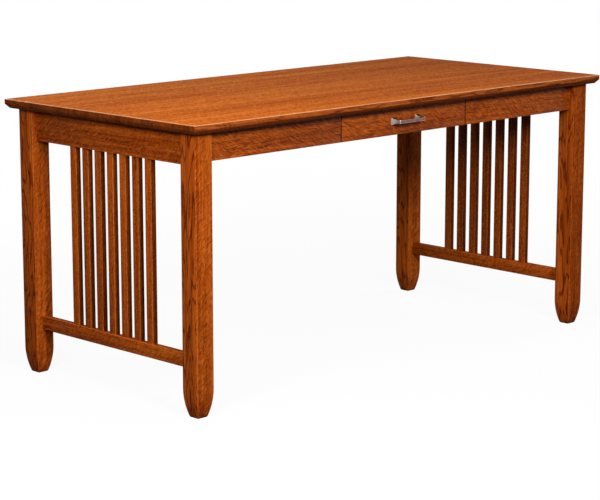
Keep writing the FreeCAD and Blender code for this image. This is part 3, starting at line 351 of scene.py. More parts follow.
def glued_boards(tree, turned, place):
    """The pattern's place and the tone, changed at every glue line."""
    across = add(tree, "ShaderNodeSeparateXYZ", {0: turned}).outputs["Y"]
    number = maths(tree, "FLOOR", maths(tree, "DIVIDE", across, TOP_BOARD_WIDTH))
    chance = add(tree, "ShaderNodeTexWhiteNoise", {"W": number}, noise_dimensions="1D")
    shift = vectors(tree, "MULTIPLY", chance.outputs["Color"], GLUE_SHIFT)
    return vectors(tree, "ADD", place, shift), centred(tree, chance.outputs["Value"], GLUE_TONE)


print("boards of the top:", TOP_BOARD_WIDTH, "m wide")

# %% [markdown]
# The figure
#
# Quarter-sawn oak shows ripples that cross the grain at a slant which wanders along the board. Noise on
# tilted coordinates gives them. On the front boards they are longer and lie lower, and on the top they lie
# across its upper face. A square leg can't be quarter-sawn on all sides, so its left and right faces show
# growth rings cut at a low angle, and so does the upright edge of the top. Bands of one slow noise, taken
# through a sine, close into long loops as the rings do.

# %% The figure
RIPPLE_TILT = math.radians(-32)
FRONT_TILT = math.radians(-15)
TOP_TILT = math.radians(42)
TOP_AXIS = 2
RIPPLE_BEND = {"scale": (4, 4, 4), "gain": 0.15}
FLAME = {"scale": (18, 60, 60), "gain": 0.24, "distortion": 0.4}
RIPPLES = {"scale": (95, 300, 520), "gain": 1.25, "detail": 1.0, "distortion": 0.2}
FRONT_RIPPLES = {"scale": (48, 300, 480), "gain": 1.25, "detail": 1.0, "distortion": 0.2}
TOP_RIPPLES = {"scale": (150, 22, 22), "gain": 0.65, "distortion": 0.3}
RING_SCALE = (3.2, 24, 24)
RING_TURNS = 70
RING_LINE = (0.35, 1.0)
RING_TONES = (0.11, -0.34)


def quarter_figure(tree, place, ripples=RIPPLES, slant=RIPPLE_TILT):
    """Flame and ripple across the grain, whose slant wanders along the board."""
    bent = swayed(tree, place, RIPPLE_BEND, axes=(2,))
    return total(tree, layer(tree, bent, **FLAME), layer(tree, tilt(tree, bent, slant), **ripples))


def front_figure(tree, place):
    """The boards at the front have longer ripples, at a lower slant."""
    return quarter_figure(tree, place, FRONT_RIPPLES, FRONT_TILT)


def top_figure(tree, place):
    """Flame, and long ripples that lie across the upper face."""
    ripples = layer(tree, tilt(tree, place, TOP_TILT, TOP_AXIS), **TOP_RIPPLES)
    return total(tree, layer(tree, place, **FLAME), ripples)


def flat_figure(tree, place):
    """Growth rings cut at a low angle: dark lines that run along the board in long loops."""
    rings = maths(tree, "SINE", maths(tree, "MULTIPLY", noise(tree, place, RING_SCALE), RING_TURNS))
    return spread(tree, rings, *RING_LINE, *RING_TONES)


print("ripple slants:", [round(math.degrees(angle)) for angle in (RIPPLE_TILT, FRONT_TILT, TOP_TILT)])

# %% [markdown]
# Rays and pores
#
# Pale flecks of ray tissue lie in patches, at a slant, and tiny dark pores run along the grain. A photograph
# of oak would show both, but it would also bring its own light and repeat itself. Noise with a sharp edge
# gives both at any size.

# %% Rays and pores
FLECK_TILT = math.radians(-38)
SIDE_RAYS = (42, 260, 280)
TOP_RAYS = (170, 24, 24)
RAY_DISTORTION = 0.5
RAY_EDGE = (0.5, 0.66)
PATCH_SCALE = (3, 14, 14)
PATCH_EDGE = (0.36, 0.6)
PORE_SCALE = (45, 1300, 1300)
PORE_EDGE = (0.6, 0.7)


def ray_flecks(tree, place, scale, angle, axis):
    """1 on the flecks of ray tissue, which come in patches."""
    flecks = noise(tree, tilt(tree, place, angle, axis), scale, distortion=RAY_DISTORTION)
    patches = spread(tree, noise(tree, place, PATCH_SCALE), *PATCH_EDGE)
    return maths(tree, "MULTIPLY", spread(tree, flecks, *RAY_EDGE), patches)


def open_pores(tree, place):
    """1 in the pores."""
    return spread(tree, noise(tree, place, PORE_SCALE, detail=1.0), *PORE_EDGE)


print("pores about", round(1000 / PORE_SCALE[1], 1), "mm wide")

# %% [markdown]
# The oak recipe
#
# The tone of a spot is a sum: broad bands, narrow streaks, fine fibres, the figure, and the tone of the
# board. The stain's three colours follow it, and rays and pores go over them. The wood itself is dull, and
# the shine comes from a thin coat of lacquer over it, as on the real desk. Where hands and cloths rub an
# edge, the tone is lighter, the pores are filled and the lacquer is smoother. The lighter tone there is
# also a painted highlight, for the light that an eased edge catches.

# %% The oak recipe
OAK_SWAY = {"scale": (1.3, 6, 6), "gain": 0.03}
BANDS = {"scale": (0.5, 17, 17), "gain": 0.8, "detail": 3.0}
STREAKS = {"scale": (2.5, 140, 140), "gain": 1.0, "detail": 4.0}
FIBRES = {"scale": (30, 520, 520), "gain": 0.5, "detail": 3.0}
FRESH = {"tone": 0.5, "pores": 0.6, "roughness": 0.36, "coat": 0.22}
# Worn edges: real wear, and their lighter tone is also a painted highlight.
WORN_AND_HIGHLIGHT = {"tone": 0.64, "pores": 0.3, "roughness": 0.24, "coat": 0.16}
LACQUER = 0.04
PORE_ROUGHNESS = 0.2
RAY_SHINE = 0.07
STREAK_RELIEF = 0.4
OAK_RELIEF = 0.35
WOOD_DEPTH = 0.0003


def dress(tree, shader, colour, roughness, height, strength, depth):
    """Link a colour and a roughness, and let a height catch the light as fine bumps."""
    bump = add(tree, "ShaderNodeBump", {"Height": height, "Strength": strength, "Distance": depth})
    for name, output in (("Base Color", colour), ("Roughness", roughness), ("Normal", bump.outputs[0])):
        tree.links.new(output, shader.inputs[name])


def oak(name, axis, stain=STAIN, fleck=0.4, surface=FRESH, lacquer=LACQUER, figure=quarter_figure,
        rays=(SIDE_RAYS, FLECK_TILT, 1), glued=False):
    """Stained oak under satin lacquer, with its grain along one axis."""
    material, tree, shader = new_material(name)
    turned, place = along_grain(tree, axis)
    board_tone = 0.0
    if glued:
        place, board_tone = glued_boards(tree, turned, place)
    place = swayed(tree, place, OAK_SWAY)
    own_tone = add(tree, "ShaderNodeAttribute", attribute_name="tone").outputs["Fac"]
    streaks = layer(tree, place, **STREAKS)
    tone = total(tree, layer(tree, place, **BANDS), streaks, layer(tree, place, **FIBRES),
                 figure(tree, place), own_tone, board_tone, surface["tone"])
    colour = ramp(tree, tone, *zip(STAIN_STOPS, stain))

    flecks = ray_flecks(tree, place, *rays)
    pores = open_pores(tree, place)
    colour = mixed(tree, maths(tree, "MULTIPLY", flecks, fleck), colour, RAY_COLOUR)
    colour = mixed(tree, maths(tree, "MULTIPLY", pores, surface["pores"]), colour, PORE_COLOUR)

    duller = maths(tree, "MULTIPLY", pores, PORE_ROUGHNESS)
    shinier = maths(tree, "MULTIPLY", flecks, RAY_SHINE)
    roughness = maths(tree, "SUBTRACT", total(tree, duller, surface["roughness"]), shinier)
    height = maths(tree, "SUBTRACT", maths(tree, "MULTIPLY", streaks, STREAK_RELIEF), pores)
    dress(tree, shader, colour, roughness, height, OAK_RELIEF, WOOD_DEPTH)
    shader.inputs["Specular IOR Level"].default_value = 0.0
    shader.inputs["Coat Weight"].default_value = lacquer
    shader.inputs["Coat Roughness"].default_value = surface["coat"]
    return material


print("tones of fresh and worn oak:", FRESH["tone"], WORN_AND_HIGHLIGHT["tone"])

# %% [markdown]
# The oak finishes
#
# One recipe makes every oak surface of the desk, each with its own stain, figure and lacquer. The front
# boards were rubbed out to more shine than the sides, and the arris of the top shines most. Grain that runs
# along three axes needs three of the common finishes. One material with a switch would do it too, but then
# every surface would carry all the nodes.

# %% The oak finishes
WORN_LACQUER = 0.12
FRONT_LACQUER = 0.14
EDGE_LACQUER = 0.9

oak_along = {axis: oak(f"stained_oak_{axis}", axis) for axis in "xyz"}
oak_worn_highlight = {axis: oak(f"worn_oak_{axis}", axis, surface=WORN_AND_HIGHLIGHT, lacquer=WORN_LACQUER) for axis in "xyz"}
# End grain, and painted shade on the top's bevel and the slats' narrow edges.
oak_end_and_shade = {axis: oak(f"end_grain_oak_{axis}", axis, END_GRAIN_AND_SHADE_STAIN, fleck=0.0) for axis in "xyz"}
# End grain with painted shade, for the seams beside the drawer.
oak_seam_shade = oak("drawer_seam_oak", "x", SEAM_SHADE_STAIN, fleck=0.0)
oak_flat = oak("flat_sawn_oak", "z", fleck=0.2, figure=flat_figure)
# The top's upper face: its lighter stain is painted sheen.
oak_top_sheen = oak("stained_oak_top", "x", TOP_STAIN_AND_SHEEN, fleck=0.45, figure=top_figure,
              rays=(TOP_RAYS, TOP_TILT, TOP_AXIS), glued=True)
# The top's arris: wear, and a painted highlight in its pale colour.
oak_arris_highlight = oak("worn_oak_arris", "x", ARRIS_WEAR_AND_HIGHLIGHT, surface=WORN_AND_HIGHLIGHT, lacquer=EDGE_LACQUER)
oak_rim = oak("stained_oak_rim", "x", RIM_STAIN, fleck=0.3, figure=flat_figure)
oak_front = oak("stained_oak_front", "x", lacquer=FRONT_LACQUER, figure=front_figure)
single = (oak_seam_shade, oak_flat, oak_top_sheen, oak_arris_highlight, oak_rim, oak_front)
print("oak finishes:", len(oak_along) + len(oak_worn_highlight) + len(oak_end_and_shade) + len(single))

# %% [markdown]
# Inner woods
#
# The drawer box is clear-finished maple, pale and almost without figure, and the blocks and boards of the
# frame are a plainer hardwood. The oak recipe with quiet values would do, but it would drag its rays and its
# lacquer along. So they share a shorter one, with bands, soft streaks and pores.

# %% Inner woods
MAPLE = {"dark": (0.42, 0.24, 0.105), "light": (0.66, 0.45, 0.24), "pore_share": 0.4}
HARDWOOD = {"dark": (0.20, 0.105, 0.040), "light": (0.42, 0.25, 0.11), "pore_share": 0.7}
PLAIN_STOPS = (0.1, 0.9)
PLAIN_TONE = 0.5
PLAIN_SWAY = {"scale": (1.5, 7, 7), "gain": 0.05}
PLAIN_BANDS = {"scale": (0.8, 24, 24), "gain": 1.3, "detail": 3.0}
PLAIN_STREAKS = {"scale": (4, 260, 260), "gain": 0.9, "detail": 3.0}
PLAIN_PORES = (60, 1500, 1500)
PLAIN_PORE_EDGE = (0.58, 0.72)
PLAIN_ROUGHNESS = 0.46
STREAK_ROUGHNESS = 0.15
PLAIN_RELIEF = 0.2


def plain_wood(name, axis, dark, light, pore_share):
    """A quiet wood with a thin clear seal."""
    material, tree, shader = new_material(name)
    place = swayed(tree, along_grain(tree, axis)[1], PLAIN_SWAY)
    streaks = layer(tree, place, **PLAIN_STREAKS)
    tone = total(tree, layer(tree, place, **PLAIN_BANDS), streaks, PLAIN_TONE)
    colour = ramp(tree, tone, *zip(PLAIN_STOPS, (dark, light)))
    pores = spread(tree, noise(tree, place, PLAIN_PORES), *PLAIN_PORE_EDGE)
    colour = mixed(tree, maths(tree, "MULTIPLY", pores, pore_share), colour, (*dark, 1))
    roughness = total(tree, maths(tree, "MULTIPLY", streaks, STREAK_ROUGHNESS), PLAIN_ROUGHNESS)
    dress(tree, shader, colour, roughness, streaks, PLAIN_RELIEF, WOOD_DEPTH)
    return material


maple = {axis: plain_wood(f"clear_maple_{axis}", axis, **MAPLE) for axis in "xy"}
block_wood = {axis: plain_wood(f"frame_hardwood_{axis}", axis, **HARDWOOD) for axis in "xy"}
print("inner woods:", len(maple) + len(block_wood))

# %% [markdown]
# Metals
#
# Brushed metal shows fine scratches all one way. Anisotropy in the shader would give their gloss but no
# lines, so noise is stretched hard along one axis and put into the tone, the roughness and a faint bump. The
# pull is warm pewter: its bar is dark, the outward sides of its posts are made paler and duller as painted
# light, and its edges are rubbed bright. The slides are zinc, with the soft blotches of the plating, and the
# screws are warmer zinc.

# %% Metals
METAL_STOPS = (0.1, 0.9)
METAL_TONE = 0.5
METAL_DETAIL = 3.0
CLOUD_DISTORTION = 0.5
SCRATCH_TONE = 0.8
CLOUD_TONE = 1.4
SCRATCH_ROUGHNESS = 0.35
METAL_RELIEF = 0.25
METAL_DEPTH = 0.0001


def brushed_metal(name, dark, light, roughness, brush, clouds, metallic=1.0):
    """Metal with scratches stretched by three scales, and cloudy plating of one scale."""
    material, tree, shader = new_material(name)
    place = add(tree, "ShaderNodeTexCoord").outputs["Object"]
    scratches = noise(tree, place, brush, METAL_DETAIL)
    blotches = layer(tree, place, (clouds,) * 3, CLOUD_TONE, METAL_DETAIL, CLOUD_DISTORTION)
    tone = total(tree, centred(tree, scratches, SCRATCH_TONE), blotches, METAL_TONE)
    colour = ramp(tree, tone, *zip(METAL_STOPS, (dark, light)))
    gloss = total(tree, centred(tree, scratches, SCRATCH_ROUGHNESS), roughness)
    dress(tree, shader, colour, gloss, scratches, METAL_RELIEF, METAL_DEPTH)
    shader.inputs["Metallic"].default_value = metallic
    return material


BRUSHED_X = ((90, 4200, 4200), 60)
BRUSHED_Y = ((4200, 90, 4200), 60)
ROLLED_Y = ((2600, 24, 2600), 70)
TURNED = ((1500, 1500, 1500), 300)
SATIN_METALLIC = 0.35

pewter = brushed_metal("brushed_pewter", (0.11, 0.062, 0.046), (0.27, 0.165, 0.125), 0.42, *BRUSHED_X)
# Paler, duller pewter for the outward sides of the posts: painted light.
pewter_lit_side = brushed_metal("satin_pewter", (0.20, 0.165, 0.145), (0.36, 0.305, 0.270), 0.5, *BRUSHED_Y,
                             SATIN_METALLIC)
pewter_rubbed = brushed_metal("rubbed_pewter", (0.38, 0.34, 0.30), (0.62, 0.57, 0.52), 0.28, *BRUSHED_X)
zinc = brushed_metal("zinc_plate", (0.42, 0.43, 0.44), (0.68, 0.69, 0.70), 0.34, *ROLLED_Y)
zinc_edge = brushed_metal("zinc_edge", (0.60, 0.61, 0.62), (0.80, 0.81, 0.82), 0.25, *ROLLED_Y)
screw_zinc = brushed_metal("screw_zinc", (0.40, 0.37, 0.30), (0.66, 0.62, 0.52), 0.3, *TURNED)
screw_edge = brushed_metal("screw_edge", (0.60, 0.57, 0.48), (0.80, 0.77, 0.68), 0.22, *TURNED)
metals = (pewter, pewter_lit_side, pewter_rubbed, zinc, zinc_edge, screw_zinc, screw_edge)
print("metals:", len(metals))

# %% [markdown]
# Modelling helpers
#
# In edit mode an operator works on whatever is selected. So each helper deselects everything first, and
# picks faces, edges or corners in code, by where they are. A finished piece keeps its place in its mesh, with
# its object at the origin, as the CAD nodes do.

# %% Modelling helpers
SMOOTH_BELOW = math.radians(40)


def only(piece):
    """Make this the one selected and active object."""
    bpy.ops.object.select_all(action="DESELECT")
    piece.select_set(True)
    bpy.context.view_layer.objects.active = piece


def block(name, low, high):
    """A box between two corners, as a start for a piece."""
    low, high = Vector(low), Vector(high)
    bpy.ops.object.select_all(action="DESELECT")
    bpy.ops.mesh.primitive_cube_add(size=1, location=(low + high) / 2, scale=high - low)
    piece = bpy.context.object
    piece.name = name
    bpy.ops.object.transform_apply(location=True, rotation=False, scale=True)
    return piece


def pick(piece, kind, test):
    """In edit mode, select the VERT, EDGE or FACE items that pass a test, and say how many they are."""
    bpy.ops.mesh.select_mode(type=kind)
    bpy.ops.mesh.select_all(action="DESELECT")
    mesh = bmesh.from_edit_mesh(piece.data)
    items = {"VERT": mesh.verts, "EDGE": mesh.edges, "FACE": mesh.faces}[kind]
    chosen = [item for item in items if test(item)]
    for item in chosen:
        item.select = True
    mesh.select_flush_mode()
    bmesh.update_edit_mesh(piece.data)
    return len(chosen)


def cut_level(axis, level):
    """Add a loop of edges all round the piece at one level of an axis."""
    point = [0, 0, 0]
    normal = [0, 0, 0]
    point[axis] = level
    normal[axis] = 1
    bpy.ops.mesh.select_all(action="SELECT")
    bpy.ops.mesh.bisect(plane_co=point, plane_no=normal)


def use(piece, kind, **settings):
    """Add a modifier with these settings and apply it."""
    only(piece)
    step = piece.modifiers.new(kind.lower(), kind)
    for name, value in settings.items():
        setattr(step, name, value)
    bpy.ops.object.modifier_apply(modifier=step.name)


def smooth(piece):
    """Shade rounds as smooth, and leave sharper turns sharp."""
    only(piece)
    bpy.ops.object.shade_smooth_by_angle(angle=SMOOTH_BELOW)


def join(pieces):
    """Make several pieces one, in the first one's object."""
    only(pieces[0])
    for piece in pieces:
        piece.select_set(True)
    bpy.ops.object.join()


def mode(name):
    """Go to EDIT or to OBJECT mode."""
    bpy.ops.object.mode_set(mode=name)


print("modelling helpers ready")

# %% [markdown]
# Finishing a piece
#
# Every piece ends in the same few steps: it gets its finishes, the number that shifts its grain, the CAD
# node that it stands for and the body that it rides on. The number could be drawn from one long row of
# chances, but then a new piece would change all that follow, so each is drawn from the piece's own name.

# %% Finishing a piece
BOARD_SPREAD = 3.0
TONE_SPREAD = 0.07
MAIN = 0
EDGES = 1
OTHER = 2


def number_board(piece, tone=None):
    """Write the piece's own shift of the pattern, and how light its board is, on its mesh."""
    chance = random.Random(piece.name)
    count = len(piece.data.vertices)
    shift = [chance.uniform(-BOARD_SPREAD, BOARD_SPREAD) for axis in range(3)]
    lightness = chance.uniform(-TONE_SPREAD, TONE_SPREAD) if tone is None else tone
    board = piece.data.attributes.new("board", "FLOAT_VECTOR", "POINT")
    board.data.foreach_set("vector", shift * count)
    own_tone = piece.data.attributes.new("tone", "FLOAT", "POINT")
    own_tone.data.foreach_set("value", [lightness] * count)


def hand_over(piece, nodes, tone=None):
    """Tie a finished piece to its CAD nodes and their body."""
    number_board(piece, tone)
    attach(piece, body_of_node[nodes[0]])
    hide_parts(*nodes)


def copy_at(piece, name, shift):
    """A copy with its own mesh, moved by a shift."""
    only(piece)
    bpy.ops.object.duplicate()
    twin = bpy.context.object
    twin.name = name
    twin.location = shift
    bpy.ops.object.transform_apply(location=True, rotation=False, scale=False)
    return twin


def give(piece, *finishes):
    """Give a piece its main finish, that of its edges, and others."""
    piece.data.materials.clear()
    for finish in finishes:
        piece.data.materials.append(finish)


def paint(piece, number, test):
    """In edit mode, give the faces that pass a test one of the piece's finishes."""
    pick(piece, "FACE", test)
    piece.active_material_index = number
    bpy.ops.object.material_slot_assign()


print("finishing helpers ready")

# %% [markdown]
# The top
#
# The top is a board 25 mm thick. Its edge stands upright above and is bevelled under, so it looks thin from
# the front. A profile swept round the board would do it, but a box needs less: one loop is cut where the
# bevel begins, the lower face is made smaller, and the edges are rounded. The round above takes the rubbed
# finish, whose pale colour is partly wear and partly a painted highlight: the bright line that runs round
# the top. The two ends show dark end grain, and the bevel, which faces down, gets the same dark finish as
# painted shade.

# %% The top
TOP_BEVEL_HEIGHT = 0.0115
TOP_BEVEL_DEPTH = 0.010
TOP_ROUND = 0.0015
TOP_ROUND_STEPS = 4
LOWER_ROUND = 0.0005
LOWER_ROUND_STEPS = 2
TOP_TONE = 0.10
NEAR = 1e-5
FLAT = 0.99
END_SHARE = 0.7
SHADED_BEVEL_SLOPE = 0.3
SAWN_AND_SHADED = 3


def lies_at(level):
    """A test for edges whose two ends are at this height."""
    return lambda edge: all(abs(corner.co.z - level) < NEAR for corner in edge.verts)


low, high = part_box("top_panel")
top = block("top_board", low, high)
give(top, oak_rim, oak_arris_highlight, oak_top_sheen, oak_end_and_shade["x"])
mode("EDIT")
cut_level(2, low.z + TOP_BEVEL_HEIGHT)
pick(top, "VERT", lambda corner: corner.co.z < low.z + NEAR)
length, depth = high.x - low.x, high.y - low.y
shrink = ((length - 2 * TOP_BEVEL_DEPTH) / length, (depth - 2 * TOP_BEVEL_DEPTH) / depth, 1)
bpy.ops.transform.resize(value=shrink, center_override=(0, 0, low.z))
upper_edges = pick(top, "EDGE", lies_at(high.z))
# The upper round takes the arris finish, with its painted highlight.
bpy.ops.mesh.bevel(offset=TOP_ROUND, segments=TOP_ROUND_STEPS, material=EDGES)
for level in (low.z + TOP_BEVEL_HEIGHT, low.z):
    pick(top, "EDGE", lies_at(level))
    bpy.ops.mesh.bevel(offset=LOWER_ROUND, segments=LOWER_ROUND_STEPS, material=MAIN)
paint(top, OTHER, lambda face: face.normal.z > FLAT)
paint(top, SAWN_AND_SHADED, lambda face: abs(face.normal.x) > END_SHARE and face.material_index != EDGES)
# Painted shade: the bevel faces down, so it gets the dark end grain finish.
paint(top, SAWN_AND_SHADED, lambda face: -FLAT < face.normal.z < -SHADED_BEVEL_SLOPE)
mode("OBJECT")
smooth(top)
hand_over(top, ["top_panel"], TOP_TONE)
print("top:", upper_edges, "upper edges rounded")

# %% [markdown]
# One leg
#
# A leg is square and straight down to 76 mm above the floor, where all four faces curve in on a long arc. A
# box with a loop at each step of the arc can follow it: each loop is scaled to the arc's width at its height.
# A bevel with a round profile would be quicker, but it would round the corners between the faces too.

# %% One leg
FOOT_HEIGHT = 0.076
FOOT_INSET = 0.0116
FOOT_CHAMFER = 0.002
FOOT_STEPS = 12
LEG_ROUND = 0.002
LEG_ROUND_STEPS = 3

foot_rise = FOOT_HEIGHT - FOOT_CHAMFER
foot_radius = (foot_rise ** 2 + FOOT_INSET ** 2) / (2 * FOOT_INSET)
low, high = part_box("leg_front_left")
leg_half = (high.x - low.x) / 2
leg_axis = (low + high) / 2


def foot_half(height):
    """Half the width of the leg at this height above the floor."""
    drop = max(FOOT_HEIGHT - height, 0)
    return leg_half - foot_radius + math.sqrt(foot_radius ** 2 - drop ** 2)


leg = block("leg_front_left_oak", low, high)
give(leg, oak_along["z"], oak_worn_highlight["z"], oak_flat)
mode("EDIT")
paint(leg, OTHER, lambda face: abs(face.normal.x) > FLAT)
levels = [FOOT_HEIGHT - foot_rise * step / FOOT_STEPS for step in range(FOOT_STEPS + 1)]
for level in levels:
    cut_level(2, level)
widths = [(level, foot_half(level)) for level in levels[1:]] + [(0, foot_half(FOOT_CHAMFER) - FOOT_CHAMFER)]
for level, half in widths:
    pick(leg, "VERT", lambda corner: abs(corner.co.z - level) < NEAR)
    size = half / leg_half
    bpy.ops.transform.resize(value=(size, size, 1), center_override=(leg_axis.x, leg_axis.y, level))
corners = pick(leg, "EDGE", lambda edge: abs(edge.verts[0].co.z - edge.verts[1].co.z) > NEAR)
bpy.ops.mesh.bevel(offset=LEG_ROUND, segments=LEG_ROUND_STEPS, material=EDGES)
mode("OBJECT")
smooth(leg)
print("leg:", corners, "corner edges eased")

# %% [markdown]
# Four legs
#
# The other legs are copies, each with its own mesh, board and tone. The tone is partly the board's own and
# partly painted light and shade, lighter or darker to match how much light falls on each leg. Each foot is
# made darker towards the floor. That could be a second material, but a lower tone at the corners of the
# mesh blends without a line.

# %% Four legs
# Each leg's tone is partly its board and partly painted light and shade.
LEG_TONES_AND_LIGHT = {"leg_front_left": 0.02, "leg_back_left": -0.02, "leg_front_right": -0.06, "leg_back_right": 0.0}
FOOT_DARKENING = 0.10

legs = {"leg_front_left": leg}
for node in ("leg_back_left", "leg_front_right", "leg_back_right"):
    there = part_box(node)
    shift = (there[0] + there[1]) / 2 - leg_axis
    legs[node] = copy_at(leg, f"{node}_oak", shift)
for node, piece in legs.items():
    hand_over(piece, [node], LEG_TONES_AND_LIGHT[node])
    for corner, tone in zip(piece.data.vertices, piece.data.attributes["tone"].data):
        # Each foot gets darker towards the floor.
        tone.value -= FOOT_DARKENING * max(1 - corner.co.z / FOOT_HEIGHT, 0)
print("legs:", len(legs))

# %% [markdown]
# Softened copies of the CAD nodes
#
# The other woods are plain sticks and boards with tenons, grooves and mortises, which the CAD nodes already
# have, so modelling them again would gain nothing. But no sanded edge is as sharp as in the CAD. A CAD mesh
# is loose triangles, so a copy is merged and its flat faces are joined again, and then its edges are rounded
# a little. Slanted faces and rounds take the finish of edges.

# %% Softened copies of the CAD nodes
SEAM = 1e-5
FLAT_ANGLE = math.radians(1)
SHARP_ANGLE = math.radians(30)
SLANT = 0.95


def softened(node, name, width, finishes, segments=2, ends="", reach=SLANT):
    """A copy of a CAD node with rounded edges.

    Faces that look along an axis in ends, by more than reach, get the last of three finishes.
    """
    only(frame["nodes"][node])
    bpy.ops.object.duplicate()
    piece = bpy.context.object
    for key in [key for key in piece.keys() if key.startswith("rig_")]:
        del piece[key]
    piece.parent = None
    piece.name = name
    give(piece, *finishes)
    mode("EDIT")
    bpy.ops.mesh.select_all(action="SELECT")
    bpy.ops.mesh.remove_doubles(threshold=SEAM)
    bpy.ops.mesh.dissolve_limited(angle_limit=FLAT_ANGLE)
    paint(piece, EDGES, lambda face: max(abs(part) for part in face.normal) < SLANT)
    mode("OBJECT")
    use(piece, "BEVEL", width=width, segments=segments, limit_method="ANGLE", angle_limit=SHARP_ANGLE,
        material=EDGES, use_clamp_overlap=True)
    if ends:
        cut = ["xyz".index(axis) for axis in ends]
        mode("EDIT")
        paint(piece, OTHER, lambda face: max(abs(face.normal[axis]) for axis in cut) > reach)
        mode("OBJECT")
    smooth(piece)
    return piece


print("edges turn from", round(math.degrees(SHARP_ANGLE)), "degrees on")

# %% [markdown]
# Aprons, stretchers and slats
#
# Faces that the grain runs into take the dark finish of end grain. The narrow edges of the slats take it
# too, as painted shade for the shadow that each slat casts on the next. The boards at the front have a
# finish of their own, and the darkest one, on their ends and on the rounds beside them, is end grain
# darkened further as painted shade, which draws the seams beside the drawer. The slats come from several
# boards, so each has its own tone, and the slats at the right end are all darker as painted shade. The
# lists start at the front.

# %% Aprons, stretchers and slats
OAK_EASED = 0.001
ROUND_REACH = 0.35
# The right slats are all made darker as painted shade, where the top and aprons shade them.
SLAT_TONES_AND_SHADE = {"left": (0.0, -0.02, 0.04, 0.03, -0.10, -0.02, 0.0),
              "right": (-0.14, -0.08, -0.11, -0.11, -0.12, -0.14, -0.15)}

board_tone = {"side_apron_left": -0.05, "drawer_front": 0.02}
grain_of = {}
for side, tones in SLAT_TONES_AND_SHADE.items():
    grain_of.update({f"side_apron_{side}": "y", f"stretcher_{side}": "y", f"front_apron_{side}": "x"})
    for order, tone in enumerate(tones, start=1):
        grain_of[f"slat_{side}_{order}"] = "z"
        board_tone[f"slat_{side}_{order}"] = tone
grain_of.update({"back_apron": "x", "drawer_front": "x"})
for node, axis in grain_of.items():
    finishes = (oak_along[axis], oak_worn_highlight[axis], oak_end_and_shade[axis])
    reach = SLANT
    if "front" in node:
        # Ends and the rounds beside them: end grain with painted shade for the drawer seams.
        finishes = (oak_front, oak_front, oak_seam_shade)
        reach = ROUND_REACH
    # Slats: narrow edges along Y get the dark finish as painted shade, ends along Z as end grain.
    ends = "yz" if "slat" in node else axis
    piece = softened(node, f"{node}_oak", OAK_EASED, finishes, ends=ends, reach=reach)
    hand_over(piece, [node], board_tone.get(node))
print("oak pieces softened:", len(grain_of))

# %% [markdown]
# Frame and drawer woods
#
# The hidden frame is sawn and hardly sanded, and the thin maple of the drawer has only its sharpness taken
# off. So both are softened copies too, with smaller rounds.

# %% Frame and drawer woods
FRAME_EASED = 0.0005
MAPLE_EASED = 0.00025

frame_grain = {"front_top_rail": "x"}
for side in ("left", "right"):
    frame_grain[f"drawer_hanger_{side}"] = "y"
    frame_grain.update({f"corner_block_{end}_{side}": "x" for end in ("front", "back")})
for node, axis in frame_grain.items():
    piece = softened(node, f"{node}_board", FRAME_EASED, (block_wood[axis], block_wood[axis]))
    hand_over(piece, [node])

drawer_grain = {"drawer_box_front": "x", "drawer_box_back": "x", "drawer_bottom": "x",
                "drawer_side_left": "y", "drawer_side_right": "y"}
for node, axis in drawer_grain.items():
    piece = softened(node, f"{node}_maple", MAPLE_EASED, (maple[axis], maple[axis]), segments=1)
    hand_over(piece, [node])
print("inner boards:", len(frame_grain) + len(drawer_grain))

# %% [markdown]
# A post of the pull
#
# The pull is a flat bar on two thin posts, and each post flares out to a square base on a hollow curve. A
# spun shape would be round, and the posts are square, so a post is a box with loops along the flare, each
# scaled to the curve. Its outer end has rounded corners.

# %% A post of the pull
PULL_RIM = 0.0015
PULL_FLARE = 0.019
PULL_BASE = 0.020
PULL_NECK_WIDTH = 0.0045
PULL_NECK_HEIGHT = 0.0095
PULL_CORNER = 0.0015
PULL_CORNER_STEPS = 4
PULL_ROUNDING = {"width": 0.0005, "segments": 2, "limit_method": "ANGLE", "angle_limit": math.radians(50)}
FLARE_STEPS = 10

low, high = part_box("drawer_pull")
pull_middle = (low + high) / 2
base_half = PULL_BASE / 2
post_x = low.x + base_half


def flare_share(out, neck):
    """The size of a post this far in front of the drawer, as a share of its base. neck is its least size."""
    swell = (PULL_BASE - neck) / 2
    radius = (PULL_FLARE ** 2 + swell ** 2) / (2 * swell)
    left = max(PULL_RIM + PULL_FLARE - max(out, PULL_RIM), 0)
    return (neck / 2 + radius - math.sqrt(radius ** 2 - left ** 2)) / base_half


post = block("pull_post", (post_x - base_half, low.y, pull_middle.z - base_half),
             (post_x + base_half, high.y, pull_middle.z + base_half))
give(post, pewter, pewter_rubbed, pewter_lit_side)
mode("EDIT")
outs = [PULL_RIM + PULL_FLARE * step / FLARE_STEPS for step in range(FLARE_STEPS + 1)]
for out in outs:
    cut_level(1, high.y - out)
for out in outs + [high.y - low.y]:
    pick(post, "VERT", lambda corner: abs(corner.co.y - high.y + out) < NEAR)
    sizes = (flare_share(out, PULL_NECK_WIDTH), 1, flare_share(out, PULL_NECK_HEIGHT))
    bpy.ops.transform.resize(value=sizes, center_override=(post_x, high.y - out, pull_middle.z))
pick(post, "EDGE", lambda edge: max(corner.co.y for corner in edge.verts) < low.y + NEAR
     and abs(edge.verts[0].co.x - edge.verts[1].co.x) < NEAR)
bpy.ops.mesh.bevel(offset=PULL_CORNER, segments=PULL_CORNER_STEPS, material=EDGES)
mode("OBJECT")
use(post, "BEVEL", material=EDGES, **PULL_ROUNDING)
print("post:", len(post.data.polygons), "faces")

# %% [markdown]
# The whole pull
#
# The second post is a copy, and the bar is a box. Casting makes them one piece, so they are fused into one
# skin instead of being left to poke through each other. Only the outward sides of the posts are pale, as
# painted light, which is painted once both stand in their places. Rounded edges with the rubbed finish catch
# the light.

# %% The whole pull
PULL_BAR_DEPTH = 0.005
PULL_BAR_HEIGHT = 0.0085
LIT_SIDE_FACE = 0.35

